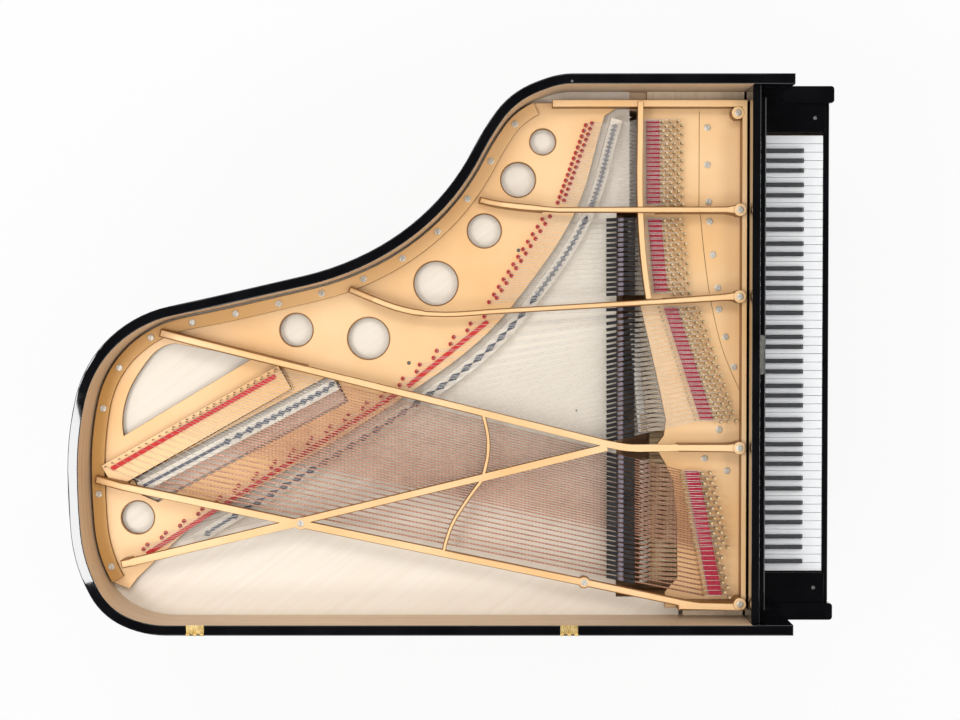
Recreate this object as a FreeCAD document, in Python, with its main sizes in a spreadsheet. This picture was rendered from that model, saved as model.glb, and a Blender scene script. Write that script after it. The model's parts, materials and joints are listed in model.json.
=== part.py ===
import FreeCAD, Part
import math
import os
from types import SimpleNamespace

# A grand piano with its lid and music desk taken off.
# Frame: +Z up, origin on the floor under the middle of the case, keyboard towards -Y,
# tail towards +Y, bass towards -X and treble towards +X. All lengths in millimetres.

SIZES = {
    # Case
    "half_width": 745,
    "tail_reach": 1040,
    "arm_reach": 1040,
    "high_arm_reach": 887,
    "rim_wall": 28,
    "rim_height": 365,
    "rim_round": 3,
    "inner_rim_wall": 50,
    "arm_width": 47,
    "arm_height": 120,
    "arm_length": 340,
    "arm_corner": 9,
    "cheek_length": 92,
    "cheek_height": 210,
    "keybed_thick": 42,
    "keybed_depth": 536,
    "slip_thick": 16,
    "slip_rise": 40,
    "slip_gap": 4,
    "block_length": 179,
    "block_rise": 68,
    "block_gap_bass": 2,
    "block_gap_treble": 5,
    "knob_radius": 5,
    "stretcher_thick": 13,
    "stretcher_base": 118,
    "stretcher_height": 175,
    "stretcher_gap": 3,
    "stretcher_lip": 9,
    "stretcher_lip_height": 119,
    "brace_width": 60,
    "brace_depth": 60,
    # Legs and casters
    "caster_height": 80,
    "leg_height": 560,
    "leg_head": 140,
    "leg_foot": 78,
    "leg_plate": 170,
    "leg_plate_thick": 24,
    "front_leg_x": 590,
    "front_leg_y": 870,
    "tail_leg_x": 250,
    "tail_leg_y": 850,
    "wheel_radius": 30,
    "wheel_width": 22,
    "wheel_gap": 0.6,
    "axle_radius": 5,
    "stem_radius": 8,
    "stem_length": 32,
    "fork_disc_radius": 30,
    "fork_disc_thick": 8,
    "fork_cheek": 6,
    "fork_trail": 22,
    "running_gap": 0.06,
    # Soundboard, bridges and plate
    "soundboard_rise": 200,
    "soundboard_thick": 8,
    "belly_front": 428,
    "belly_front_treble": 463,
    "belly_thick": 30,
    "bass_tongue": 600,
    "belly_recess": 12,
    "rib_width": 22,
    "rib_depth": 20,
    "bridge_width": 32,
    "bridge_gap": 18,
    "apron_width": 37,
    "apron_thick": 7,
    "plate_edge_gap": 6,
    "plate_lift": 8,
    "web_thick": 14,
    "flange_width": 36,
    "flange_rise": 10,
    "plate_front": 776,
    "plate_side_gap": 29,
    "wall_width": 19,
    "wall_rise": 43,
    "strut_gap": 6,
    "strut_depth": 20,
    "strut_width": 20,
    "slim_strut_width": 15,
    "strut_flare": 3,
    "cross_brace_width": 11,
    "capo_depth": 34,
    "bolt_radius": 9,
    "bolt_head": 5,
    "nose_radius": 17,
    "boss_radius": 17.5,
    "boss_rise": 1,
    "strut_mouth": 48,
    "pin_block_thick": 26,
    # Strings
    "string_rise": 14,
    "bass_rise": 14,
    "plain_radius": 0.5,
    "wound_radius_low": 2.3,
    "wound_radius_high": 1.3,
    "trichord_gap": 3.4,
    "bichord_gap": 7,
    "tuning_pin_radius": 3.2,
    "tuning_pin_step": 1.8,
    "leader_radius": 0.6,
    "tuning_pin_stand": 16,
    "pin_row_step": 21,
    "pin_stagger": 10,
    "pin_setback": 58,
    "hitch_pin_radius": 1.8,
    "hitch_row_step": 14.5,
    "bushing_radius": 6,
    "bushing_height": 3,
    "agraffe_radius": 3.2,
    "felt_width": 36,
    "felt_setback": 14,
    "felt_height": 11,
    "hitch_felt_width": 12,
    "hitch_felt_height": 6,
    # Keys
    "natural_pitch": 23.5,
    "key_gap": 1,
    "key_lift": 30,
    "key_thick": 23,
    "key_front": 1014,
    "key_back": 530,
    "balance_line": 784,
    "sharp_front": 960,
    "sharp_width": 10,
    "sharp_rise": 12,
    "sharp_slope": 5,
    "sharp_back": 842,
    "stick_drop": 2,
    "rest_gap": 0.3,
    # Action
    "hammer_pivot_y": 640,
    "hammer_height": 64,
    "hammer_blow": 18,
    "hammer_width": 9,
    "hammer_depth": 20,
    "hammer_gap": 0.6,
    "shank_thick": 6,
    "hammer_pin_radius": 2,
    "rail_depth": 22,
    "rail_height": 20,
    "rack_bracket": 12,
    "una_corda_room": 35,
    "damper_length": 78,
    "damper_width": 9,
    "damper_height": 12,
    "damper_line": 436,
    "damper_split": 16,
    "damper_neck": 3,
    "damper_wire": 1.2,
    "tray_level": 760,
    "tray_thick": 10,
    "tray_depth": 30,
    "sostenuto_radius": 4,
    "sostenuto_line": 422,
    "sostenuto_level": 772,
    # Fallboard and lid hinges
    "fallboard_thick": 20,
    "fallboard_height": 136,
    "fallboard_lean": 10,
    "fallboard_line": 838,
    "fallboard_axis_rise": 130,
    "fallboard_pin_radius": 6,
    "fallboard_pin_depth": 8,
    "fallboard_side_gap": 3,
    "lock_length": 107,
    "lock_width": 14,
    "lock_thick": 2,
    "hinge_length": 47,
    "hinge_leaf": 2.5,
    "hinge_barrel": 4,
    "hinge_bore": 2,
    # Pedals
    "pedal_spacing": 62,
    "pedal_thick": 10,
    "pedal_level": 95,
    "pedal_tip": 1008,
    "pedal_pivot_line": 860,
    "pedal_rear_line": 800,
    "pedal_pad_width": 46,
    "pedal_arm_width": 24,
    "pedal_pin_radius": 4,
    "lyre_width": 260,
    "lyre_front": 905,
    "lyre_back": 782,
    "lyre_base": 66,
    "lyre_box_height": 84,
    "lyre_wall": 10,
    "lyre_post": 34,
    "lyre_post_spacing": 200,
    "lyre_head_height": 40,
    "rod_radius": 5,
    "rod_foot_round": 4.2,
    "rod_guide_gap": 0.5,
    "rod_line": 815,
    "lever_width": 24,
    "lever_depth": 18,
    "lever_drop": 16,
    "lever_front": 832,
    "lever_pivot_line": 575,
    "lyre_brace_radius": 7,
}

# Notes of the four string sections, from the top of the keyboard down
HIGH_NOTES = 20
TREBLE_NOTES = 16
TENOR_NOTES = 26
BASS_NOTES = 26
BASS_SINGLES = 10
NOTES = HIGH_NOTES + TREBLE_NOTES + TENOR_NOTES + BASS_NOTES
DAMPED_NOTES = NOTES - HIGH_NOTES
NATURALS = 52
LETTERS = "ABCDEFG"
# Sideways place of each sharp, from the crack between the naturals that it stands on
SHARP_SHIFT = {"A": 4, "C": -3, "D": 3, "F": -4, "G": 0}

doc = FreeCAD.newDocument("grand_piano")
sheet = doc.addObject("Spreadsheet::Sheet", "sizes")
for row, (alias, value) in enumerate(SIZES.items(), start=1):
    sheet.set(f"A{row}", alias)
    sheet.set(f"B{row}", str(value))
    sheet.setAlias(f"B{row}", alias)
doc.recompute()


class Size(float):
    """A number that also remembers the expression on the sheet that gives it."""

    def __new__(cls, value, text=None):
        size = super().__new__(cls, value)
        size.text = text or repr(float(value))
        return size

    def join(self, other, sign, value, flip=False):
        first, second = self.text, text_of(other)
        if flip:
            first, second = second, first
        return Size(value, f"({first} {sign} {second})")

    def __add__(self, other):
        return self.join(other, "+", float(self) + float(other))

    def __radd__(self, other):
        return self.join(other, "+", float(self) + float(other), flip=True)

    def __sub__(self, other):
        return self.join(other, "-", float(self) - float(other))

    def __rsub__(self, other):
        return self.join(other, "-", float(other) - float(self), flip=True)

    def __mul__(self, other):
        return self.join(other, "*", float(self) * float(other))

    __rmul__ = __mul__

    def __truediv__(self, other):
        return self.join(other, "/", float(self) / float(other))

    def __neg__(self):
        return Size(-float(self), f"(0 - {self.text})")


def text_of(number):
    """Expression text of a Size or of a plain number."""
    return number.text if isinstance(number, Size) else repr(float(number))


s = SimpleNamespace(**{name: Size(getattr(sheet, name), f"sizes.{name}") for name in SIZES})

# Levels above the floor
rim_bottom = s.caster_height + s.leg_height
rim_top = rim_bottom + s.rim_height
keybed_top = rim_bottom + s.keybed_thick
key_bottom = keybed_top + s.key_lift
key_top = key_bottom + s.key_thick
soundboard_top = rim_bottom + s.soundboard_rise
soundboard_bottom = soundboard_top - s.soundboard_thick
web_bottom = soundboard_top + s.plate_lift
web_top = web_bottom + s.web_thick
flange_top = web_top + s.flange_rise
plain_level = web_top + s.string_rise
bass_level = plain_level + s.bass_rise
strut_bottom = bass_level + s.wound_radius_low + s.strut_gap
strut_top = strut_bottom + s.strut_depth
pin_block_bottom = web_bottom - s.pin_block_thick
hammer_pivot_z = plain_level - s.hammer_height
fallboard_axis_z = rim_bottom + s.fallboard_axis_rise

# Lines across the case
rim_inside = s.half_width - s.rim_wall
arm_inside = s.half_width - s.arm_width
inner_rim_inside = rim_inside - s.inner_rim_wall
plate_side = rim_inside - s.plate_side_gap
half_keyboard = s.natural_pitch * NATURALS / 2

PARTS = []


def keep(thing, label):
    """Name a finished sub-part and list it for checking and writing."""
    thing.Label = label
    PARTS.append(thing)
    return thing


def vec(x, y, z=0):
    return FreeCAD.Vector(x, y, z)


def heading(degrees):
    """Unit vector in plan along a heading."""
    return vec(math.cos(math.radians(degrees)), math.sin(math.radians(degrees)))


# Plan outlines made of lines and tangent arcs
NEARLY_STRAIGHT = 0.005

def arc_to(start, along, end):
    """Line or arc that leaves start in the direction along and arrives at end."""
    chord = end - start
    turn = math.atan2(along.x * chord.y - along.y * chord.x, along.dot(chord))
    if abs(turn) < 1e-5:
        return Part.LineSegment(start, end)
    right = vec(chord.y, -chord.x)
    return Part.Arc(start, (start + end) * 0.5 + right * (0.5 * math.tan(turn / 2)), end)


def smooth(knots):
    """Lines and pairs of tangent arcs through knots, each an x, a y and a heading."""
    pieces = []
    for (x0, y0, a0), (x1, y1, a1) in zip(knots, knots[1:]):
        start, end, leave, arrive = vec(x0, y0), vec(x1, y1), heading(a0), heading(a1)
        chord = end - start
        lean = chord.dot(leave + arrive)
        bend = 2 * (1 - leave.dot(arrive))
        if bend < 1e-9:
            reach = chord.dot(chord) / (2 * lean)
        else:
            reach = (math.sqrt(lean ** 2 + bend * chord.dot(chord)) - lean) / bend
        first, second = start + leave * reach, end - arrive * reach
        middle = (first + second) * 0.5
        if max(leave.getAngle(chord), arrive.getAngle(chord)) < NEARLY_STRAIGHT:
            pieces.append(Part.LineSegment(start, end))
            continue
        pieces.append(arc_to(start, leave, middle))
        pieces.append(arc_to(middle, (second - first).normalize(), end))
    return pieces


def shift(knots, distance):
    """The same knots moved to their left by a distance."""
    return [(x - distance * math.sin(math.radians(a)), y + distance * math.cos(math.radians(a)), a)
            for x, y, a in knots]


def run(points):
    """Straight lines through points."""
    return [Part.LineSegment(vec(*a[:2]), vec(*b[:2])) for a, b in zip(points, points[1:])]


def ring(points):
    """Closed polygon."""
    return run(list(points) + [points[0]])


def band(knots, left, right):
    """Closed outline between two curves that run beside the knots."""
    a, b = shift(knots, left), shift(knots, right)
    return smooth(a) + smooth(b) + run([a[0], b[0]]) + run([a[-1], b[-1]])


def ribbon(knots, width):
    """Closed outline of a bar of one width along knots."""
    return band(knots, width / 2, -width / 2)


def straight(start, end):
    """Two knots at the ends of a straight line."""
    a = math.degrees(math.atan2(end[1] - start[1], end[0] - start[0]))
    return [(start[0], start[1], a), (end[0], end[1], a)]


def rectangle(x0, x1, y0, y1):
    return ring([(x0, y0), (x1, y0), (x1, y1), (x0, y1)])


def round_rectangle(x0, x1, y0, y1, radius):
    """Rectangle with four rounded corners."""
    knots = []
    for x, y, a in ((x1, y0, 0), (x1, y1, 90), (x0, y1, 180), (x0, y0, 270)):
        corner = vec(x, y)
        before, after = corner - heading(a) * radius, corner + heading(a + 90) * radius
        knots += [(before.x, before.y, a), (after.x, after.y, a + 90)]
    return smooth(knots + knots[:1])


def circle(x, y, radius):
    return [Part.Circle(vec(x, y), vec(0, 0, 1), radius)]


def face_of(outline):
    """Flat face inside one closed outline."""
    edges = [piece.toShape() for piece in outline]
    return Part.Face(Part.Wire(Part.__sortEdges__(edges)))


def prism(outline, base, height):
    """Upright solid on one closed outline."""
    solid = face_of(outline).extrude(vec(0, 0, height))
    solid.translate(vec(0, 0, base))
    return solid


class Path:
    """A plan curve that can be asked for the point at a share of its length."""

    def __init__(self, pieces):
        self.edges = [piece.toShape() for piece in pieces]
        self.length = sum(edge.Length for edge in self.edges)

    def at(self, share):
        left = share * self.length
        for edge in self.edges:
            if left <= edge.Length + 1e-9:
                return edge.valueAt(edge.getParameterByLength(min(left, edge.Length)))
            left -= edge.Length
        return self.edges[-1].valueAt(self.edges[-1].LastParameter)


# Ways of making a sub-part

def plane_of(body, role):
    return next(plane for plane in body.Origin.OriginFeatures if plane.Role == role)


def new_body(label, several=False):
    body = doc.addObject("PartDesign::Body", label)
    body.AllowCompound = several
    return keep(body, label)


def sketch_on(body, outlines, level, role):
    """Sketch on one of the body's own planes, raised to a level."""
    sketch = body.newObject("Sketcher::SketchObject", "outline")
    sketch.AttachmentSupport = [(plane_of(body, role), "")]
    sketch.MapMode = "FlatFace"
    sketch.setExpression("AttachmentOffset.Base.z", text_of(level))
    for outline in outlines:
        for piece in outline:
            sketch.addGeometry(piece)
    return sketch


def pad(body, outlines, level, height, role="XY_Plane", middle=False):
    """Add material on outlines, upwards from a level or both ways from it."""
    feature = body.newObject("PartDesign::Pad", "pad")
    feature.Profile = sketch_on(body, outlines, level, role)
    feature.Midplane = middle
    feature.setExpression("Length", text_of(height))
    return feature


def pocket(body, outlines, level, length, role="YZ_Plane", middle=True, upwards=False):
    """Take material away on outlines, both ways from a level or up from it."""
    feature = body.newObject("PartDesign::Pocket", "pocket")
    feature.Profile = sketch_on(body, outlines, level, role)
    feature.Midplane = middle
    feature.Reversed = upwards
    feature.setExpression("Length", text_of(length))
    return feature


def soften(body, radius, picks):
    """Round the edges of a body that picks chooses."""
    doc.recompute()
    tip = body.Tip
    names = [f"Edge{i}" for i, edge in enumerate(tip.Shape.Edges, start=1) if picks(edge)]
    feature = body.newObject("PartDesign::Fillet", "round")
    feature.Base = (tip, names)
    feature.setExpression("Radius", text_of(radius))
    return feature


def at_level(level):
    """Picks edges that lie at one level."""
    return lambda edge: all(abs(vertex.Z - level) < 1e-4 for vertex in edge.Vertexes)


def place(thing, x, y, z):
    """Tie a sub-part's place to the sheet."""
    for axis, number in zip("xyz", (x, y, z)):
        thing.setExpression(f"Placement.Base.{axis}", text_of(number))


def block(label, x0, x1, y0, y1, z0, z1):
    """Box between two corners, tied to the sheet."""
    box = doc.addObject("Part::Box", label)
    place(box, x0, y0, z0)
    box.setExpression("Length", text_of(x1 - x0))
    box.setExpression("Width", text_of(y1 - y0))
    box.setExpression("Height", text_of(z1 - z0))
    return keep(box, label)


def group(label, solids):
    """Several separate solids of one kind under one name."""
    feature = doc.addObject("Part::Feature", label)
    feature.Shape = Part.makeCompound(solids)
    return keep(feature, label)


# Plan of the case

def rim_knots(front_treble, front_bass):
    """Outside of the rim, from the front of the treble side round the tail to the bass side."""
    w, tail = s.half_width, s.tail_reach
    return [(w, -front_treble, 90), (w, -300, 90), (w - 29, -186, 114), (w - 200, -35, 153),
            (w - 471, 240, 117), (w - 575, tail - 450, 103), (w - 696, tail - 115, 133),
            (w - 1048, tail, 180), (-w + 105, tail - 59, 209), (-w, tail - 260, 270),
            (-w, -front_bass, 270)]


SHOULDER, BASS_CORNER = 2, 9
case_knots = rim_knots(s.high_arm_reach, s.high_arm_reach)
belly_knots = rim_knots(s.belly_front_treble, s.belly_front)
board_knots = rim_knots(s.belly_front_treble, s.bass_tongue)
plate_knots = shift(case_knots, s.rim_wall + s.plate_edge_gap)[SHOULDER:BASS_CORNER]
belly_step_outer, belly_step_inner = 404, 388


def belly_line(side, setback):
    """Front edge of the soundboard from the treble side to the bass side."""
    treble, bass = -s.belly_front_treble + setback, -s.belly_front + setback
    return [(side, treble), (belly_step_outer, treble), (belly_step_inner, bass), (-side, bass)]


def inside_outline(offset, setback):
    """Closed outline inside the rim and behind the belly rail."""
    knots = shift(belly_knots, offset)
    knots[0] = (knots[0][0], -s.belly_front_treble + setback, 90)
    knots[-1] = (knots[-1][0], -s.belly_front + setback, 270)
    return smooth(knots) + run(belly_line(s.half_width - offset, setback))


# Plan of the strings
# Each section: notes, string level, front bearing line, share of the bridge, hitch line
long_bridge_knots = [(640, -426, 164), (354, -335, 153), (140, -192, 142.6), (-7, -54, 130),
                     (-149, 142, 124), (-301, 383, 121), (-508, 727, 121)]
long_bridge = Path(smooth(long_bridge_knots))
bass_bridge_line = Path(run([(-85, 345), (-351, 850)]))
PLAIN_SECTIONS = [
    (HIGH_NOTES, [(636, -492), (409, -494)], (0.012, 0.145), [(631, -360), (411, -280)]),
    (TREBLE_NOTES, [(369, -497), (170, -515)], (0.172, 0.322), [(379, -247), (142, -92)]),
    (TENOR_NOTES, [(128, -541), (-178, -641)], (0.352, 0.978),
     [(108, -72), (-80, 160), (-537, 873)]),
]
BASS_FRONT = [(-318, -600), (-655, -664)]
BASS_HITCH = [(-44, 500), (-306, 962)]


class Note:
    """Where one note's strings run, from its tuning pins to its hitch pin."""

    def __init__(self, front, bridge, hitch, level, strings, radius, leader, gap, order):
        self.front, self.bridge, self.level = front, bridge, level
        self.strings, self.radius, self.leader, self.gap, self.order = strings, radius, leader, gap, order
        self.across = vec(bridge.y - front.y, front.x - bridge.x).normalize()
        self.along = (hitch - bridge).normalize()
        self.ends = [hitch + self.across * offset for offset in self.offsets()]

    def offsets(self):
        middle = (self.strings - 1) / 2
        return [(i - middle) * self.gap for i in range(self.strings)]

    def x_at(self, y):
        share = (y - self.front.y) / (self.bridge.y - self.front.y)
        return self.front.x + share * (self.bridge.x - self.front.x)

    def angle(self):
        """Turn of the strings from the length of the case, in degrees."""
        run_of_string = self.bridge - self.front
        return -math.degrees(math.atan2(run_of_string.x, run_of_string.y))

    def tuning_pins(self):
        """Plan place of each string's tuning pin, in staggered rows."""
        stagger = s.pin_stagger * (self.order % 2)
        middle = (self.strings - 1) / 2
        beside = s.tuning_pin_radius + self.leader
        return [vec(self.front.x - beside + (i - middle) * s.tuning_pin_step,
                    self.front.y - s.pin_setback - s.pin_row_step * i - stagger) for i in range(self.strings)]

    def leaders(self):
        """Run of each string from beside its tuning pin to the front bearing."""
        lift = vec(0, 0, self.level)
        for pin, offset in zip(self.tuning_pins(), self.offsets()):
            yield [pin + vec(s.tuning_pin_radius + self.leader, 0) + lift, self.front + self.across * offset + lift]

    def speaking(self):
        """Run of each string from the front bearing over the bridge to the hitch pin."""
        lift = vec(0, 0, self.level)
        for offset, end in zip(self.offsets(), self.ends):
            side = self.across * offset
            yield [self.front + side + lift, self.bridge + side + lift, end + lift]


def spread(count):
    """Even shares from 0 to 1."""
    return [i / (count - 1) for i in range(count)]


def plain_section(count, front, bridge_share, hitch, first):
    """Notes of one plain section, first being the order of its highest note."""
    front_path, hitch_path = Path(run(front)), Path(run(hitch))
    low, high = bridge_share
    return [Note(front_path.at(share), long_bridge.at(low + share * (high - low)), hitch_path.at(share),
                 plain_level, 3, s.plain_radius, s.plain_radius, s.trichord_gap, first + i)
            for i, share in enumerate(spread(count))]


def hitch_in_pairs(section, hitch):
    """End the strings of a section beside their hitch pins, two to a pin, and give the pins' plan places."""
    strings = [(note, i) for note in section for i in (2, 1, 0)]
    hitch_path = Path(run(hitch))
    beside = s.hitch_pin_radius + s.plain_radius + s.rest_gap
    spots = []
    for pair in range(len(strings) // 2):
        couple = strings[2 * pair:2 * pair + 2]
        along = couple[0][0].along
        share = (2 * pair + 0.5) / (len(strings) - 1)
        spot = hitch_path.at(share) + along * (s.hitch_row_step * (pair % 2))
        aside = vec(along.y, -along.x) * beside
        for (note, i), side in zip(couple, (aside, aside * -1)):
            note.ends[i] = spot + side
        spots.append(spot)
    return spots


def bass_notes():
    front_path, hitch_path = Path(run(BASS_FRONT)), Path(run(BASS_HITCH))
    for order, share in enumerate(spread(BASS_NOTES)):
        radius = s.wound_radius_high + share * (s.wound_radius_low - s.wound_radius_high)
        strings = 1 if order >= BASS_NOTES - BASS_SINGLES else 2
        yield Note(front_path.at(share), bass_bridge_line.at(share), hitch_path.at(share),
                   bass_level, strings, radius, s.leader_radius, s.bichord_gap, order)


plain = []
plain_hitch_spots = []
for count, front, bridge_share, hitch in PLAIN_SECTIONS:
    section = plain_section(count, front, bridge_share, hitch, len(plain))
    plain_hitch_spots += hitch_in_pairs(section, hitch)
    plain += section
bass = list(bass_notes())
# Notes from the top of the keyboard down
notes = plain + bass

# Outer rim with its arms and cheeks
rim = new_body("rim_outer")
pad(rim, [band(case_knots, 0, s.rim_wall)], rim_bottom, s.rim_height)
arms = []
cheeks = []
for side in (1, -1):
    x0, x1 = sorted((side * arm_inside, side * s.half_width))
    arms.append(round_rectangle(x0, x1, -s.arm_reach, -s.arm_reach + s.arm_length, s.arm_corner))
    x0, x1 = sorted((side * arm_inside, side * (rim_inside + 1)))
    cheeks.append(rectangle(x0, x1, -s.high_arm_reach, -s.high_arm_reach + s.cheek_length))
pad(rim, arms, rim_bottom, s.arm_height)
pad(rim, cheeks, rim_bottom, s.cheek_height)
pocket(rim, [circle(-s.fallboard_line, fallboard_axis_z, s.fallboard_pin_radius + s.running_gap)], 0,
       2 * (arm_inside + s.fallboard_pin_depth + 1))
soften(rim, s.rim_round, at_level(rim_top))
HINGE_LINES = (703, -291)
mortise = s.hinge_length / 2 + s.rest_gap
pocket(rim, [rectangle(-s.half_width - 1, -rim_inside + 1, y - mortise, y + mortise) for y in HINGE_LINES],
       rim_top, s.hinge_leaf, role="XY_Plane", middle=False)

# Inner rim under the soundboard, with a tongue over the keybed along the bass side
inner_rim = new_body("rim_inner")
pad(inner_rim, [band(belly_knots, s.rim_wall, s.rim_wall + s.inner_rim_wall)], rim_bottom,
    soundboard_bottom - rim_bottom)
pad(inner_rim, [rectangle(-rim_inside, -inner_rim_inside, -s.bass_tongue, -s.belly_front + 1)], keybed_top,
    soundboard_bottom - keybed_top)

# Belly rail with the ledge and end plates that carry the damper tray and the sostenuto rod
damper_bass_end, damper_treble_end = -622, 384
ledge_front = s.damper_line + s.tray_depth / 2 + 1
ledge_back = s.belly_front - s.belly_recess - s.belly_thick / 2
end_plate = 8
ledge_top = s.tray_level - s.tray_thick - s.rest_gap
ledge_thick = 16
belly = new_body("belly_rail")
belly_back = s.belly_recess + s.belly_thick
front_line = belly_line(inner_rim_inside, s.belly_recess)
pad(belly, [ring(front_line + belly_line(inner_rim_inside, belly_back)[::-1])], rim_bottom,
    soundboard_bottom - rim_bottom)
pad(belly, [rectangle(damper_bass_end, damper_treble_end, -ledge_front, -ledge_back)],
    ledge_top - ledge_thick, ledge_thick)
pad(belly, [rectangle(damper_bass_end, damper_bass_end + end_plate, -ledge_front, -ledge_back),
            rectangle(damper_treble_end - end_plate, damper_treble_end, -ledge_front, -ledge_back)],
    ledge_top - ledge_thick, s.sostenuto_level + 12 - ledge_top + ledge_thick)
rod_middle = (damper_bass_end + damper_treble_end) / 2
rod_length = damper_treble_end - damper_bass_end
pocket(belly, [circle(-s.sostenuto_line, s.sostenuto_level, s.sostenuto_radius + s.running_gap)], rod_middle,
       Size(rod_length + 2))

# Back braces from the belly rail to the inner rim
BRACE_LINES = [((520, -440), (470, 60)), ((250, -440), (110, 700)), ((-150, -440), (-270, 1010)),
               ((-500, -440), (-560, 1000))]
well = prism(inside_outline(s.rim_wall + s.inner_rim_wall, belly_back), rim_bottom, s.brace_depth)
group("back_braces", [prism(ribbon(straight(*line), s.brace_width), rim_bottom, s.brace_depth).common(well)
                      for line in BRACE_LINES])

# Soundboard with clearance holes for the two nose bolts, and its ribs
NOSE_BOLTS = [(-456, 431), (-616, -336)]
nose_bolt_radius = 7
soundboard = new_body("soundboard")
board_front = belly_line(inner_rim_inside, 0)
board_front[0] = (rim_inside, -s.belly_front_treble)
board_front += [(-inner_rim_inside, -s.bass_tongue), (-rim_inside, -s.bass_tongue)]
board_outline = smooth(shift(board_knots, s.rim_wall)) + run(board_front)
pad(soundboard, [board_outline] + [circle(x, y, nose_bolt_radius + 2) for x, y in NOSE_BOLTS],
    soundboard_bottom, s.soundboard_thick)
RIB_MIDDLES = [(500, -330), (390, -230), (270, -120), (150, 0), (40, 130), (-60, 265), (-160, 400),
               (-260, 540), (-350, 680)]
rib_heading = heading(37)
rib_reach = 700
under_board = prism(inside_outline(s.rim_wall + s.inner_rim_wall, belly_back),
                    soundboard_bottom - s.rib_depth, s.rib_depth)
ribs = []
for x, y in RIB_MIDDLES:
    start, end = vec(x, y) - rib_heading * rib_reach, vec(x, y) + rib_heading * rib_reach
    bar = prism(ribbon(straight(start, end), s.rib_width), soundboard_bottom - s.rib_depth, s.rib_depth)
    ribs += bar.common(under_board).Solids
holes = [Part.makeCylinder(nose_bolt_radius + 2, s.rib_depth, vec(x, y, soundboard_bottom - s.rib_depth))
         for x, y in NOSE_BOLTS]
group("soundboard_ribs", [rib.cut(holes) for rib in ribs])

# Bridges, and the apron beside the bass bridge
treble_bridge = new_body("treble_bridge")
pad(treble_bridge, [ribbon(long_bridge_knots, s.bridge_width)], soundboard_top,
    plain_level - s.plain_radius - soundboard_top)
bass_bridge = new_body("bass_bridge")
bridge_run_outs = (10, 26)
bass_ends = [bass_bridge_line.at(0), bass_bridge_line.at(1)]
bass_along = (bass_ends[1] - bass_ends[0]).normalize()
bass_knots = straight(bass_ends[0] - bass_along * bridge_run_outs[0], bass_ends[1] + bass_along * bridge_run_outs[1])
pad(bass_bridge, [ribbon(bass_knots, s.bridge_width)], soundboard_top,
    bass_level - s.wound_radius_low - soundboard_top)
pad(bass_bridge, [ribbon(shift(bass_knots, (s.bridge_width + s.apron_width) / 2 - 1), s.apron_width)],
    soundboard_top, s.apron_thick)

# Cast iron plate: web with its windows, flange, walls, struts and capo bar
PLATE_HOLES = [(579, -225, 34), (476, -158, 46), (337, -66, 45), (194, 66, 59), (44, 250, 56),
               (67, 447, 44), (-446, 882, 44)]
TAIL_WINDOW = [(-222, 920, 10), (-70, 890, 330), (30, 778, 275)]
TAIL_WINDOW_POINT = (-10, 566)
PIN_WEB_REAR = [(394, -491), (150, -509), (134, -491), (26, -517), (-97, -545), (-180, -562),
                (-222, -556), (-252, -532), (-290, -556), (-343, -581), (-452, -592), (-611, -594),
                (-650, -560)]
slot_knots = straight(bass_ends[0] - bass_along * (bridge_run_outs[0] + 5),
                      bass_ends[1] + bass_along * (bridge_run_outs[1] + 8))
# The side of the slot over the apron ends short of the round hole near the tail
apron_knots = straight(bass_ends[0] - bass_along * (bridge_run_outs[0] + 5), bass_ends[1] + bass_along * 4)
slot_shelf, slot_corner, slot_web = shift(slot_knots, -30), shift(slot_knots, 20)[-1], shift(apron_knots, 57)
bass_slot = slot_shelf + [slot_corner] + slot_web[::-1]
web_edge = shift(long_bridge_knots, -(s.bridge_width / 2 + s.bridge_gap))
plate_bass_side = -(plate_side + 6)
wall_inside = plate_side - s.wall_width
plate_tip = [(-642, 906), (-612, 884)]
web_front = [plate_knots[-1], plate_tip[0], plate_tip[1], web_edge[-1]]
web_treble = [web_edge[0], (wall_inside, -425), (wall_inside, -491)] + PIN_WEB_REAR
web_treble += [(plate_bass_side, -560), (plate_bass_side, -s.plate_front), (plate_side, -s.plate_front),
               plate_knots[0]]
web_outline = smooth(plate_knots) + run(web_front) + smooth(web_edge) + run(web_treble)
tail_window = smooth(TAIL_WINDOW) + run([TAIL_WINDOW[-1], TAIL_WINDOW_POINT, TAIL_WINDOW[0]])
plate = new_body("iron_plate")
pad(plate, [web_outline, tail_window, ring(bass_slot)] + [circle(*hole) for hole in PLATE_HOLES],
    web_bottom, s.web_thick)
pad(plate, [band(plate_knots, 0, s.flange_width)], web_bottom, s.web_thick + s.flange_rise)
wall_top = web_top + s.wall_rise
front_wall = 14
pad(plate, [rectangle(plate_bass_side, plate_side, -s.plate_front, -s.plate_front + front_wall)],
    web_bottom, wall_top - web_bottom)
pad(plate, [rectangle(wall_inside, plate_side, -s.plate_front, -250)], web_bottom, wall_top - web_bottom)
strut_front = -s.plate_front + front_wall / 2
STRUT_A = [(420, -52, 253), (394, -225, 266), (391, -270, 270), (391, strut_front, 270)]
STRUT_B = [(178, 302, 247), (112, 100, 263), (110, 70, 267), (118, -108, 273.5), (158, strut_front, 273.5)]
STRUT_C = straight((58, 808), (-240, -396)) + [(-252, -480, 270), (-252, strut_front, 270)]
STRUT_D = straight((-250, -398), (-566, 912))
STRUT_E = straight((-341, 985), (-668, -582)) + [(-681, -680, 270), (-681, strut_front, 270)]
CROSS_BRACE = [(-160, -62, 196), (-244, -77, 180), (-336, -60, 163)]
LOWER_BRACE = [(-338, -62, 138), (-430, 5, 147), (-530, 44, 167)]
bars = [ribbon(STRUT_A, s.slim_strut_width), ribbon(STRUT_B, s.slim_strut_width)]
bars += [ribbon(knots, s.strut_width) for knots in (STRUT_C, STRUT_D, STRUT_E)]
slim_foot, wide_foot = s.slim_strut_width + s.strut_flare, s.strut_width + s.strut_flare
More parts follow.
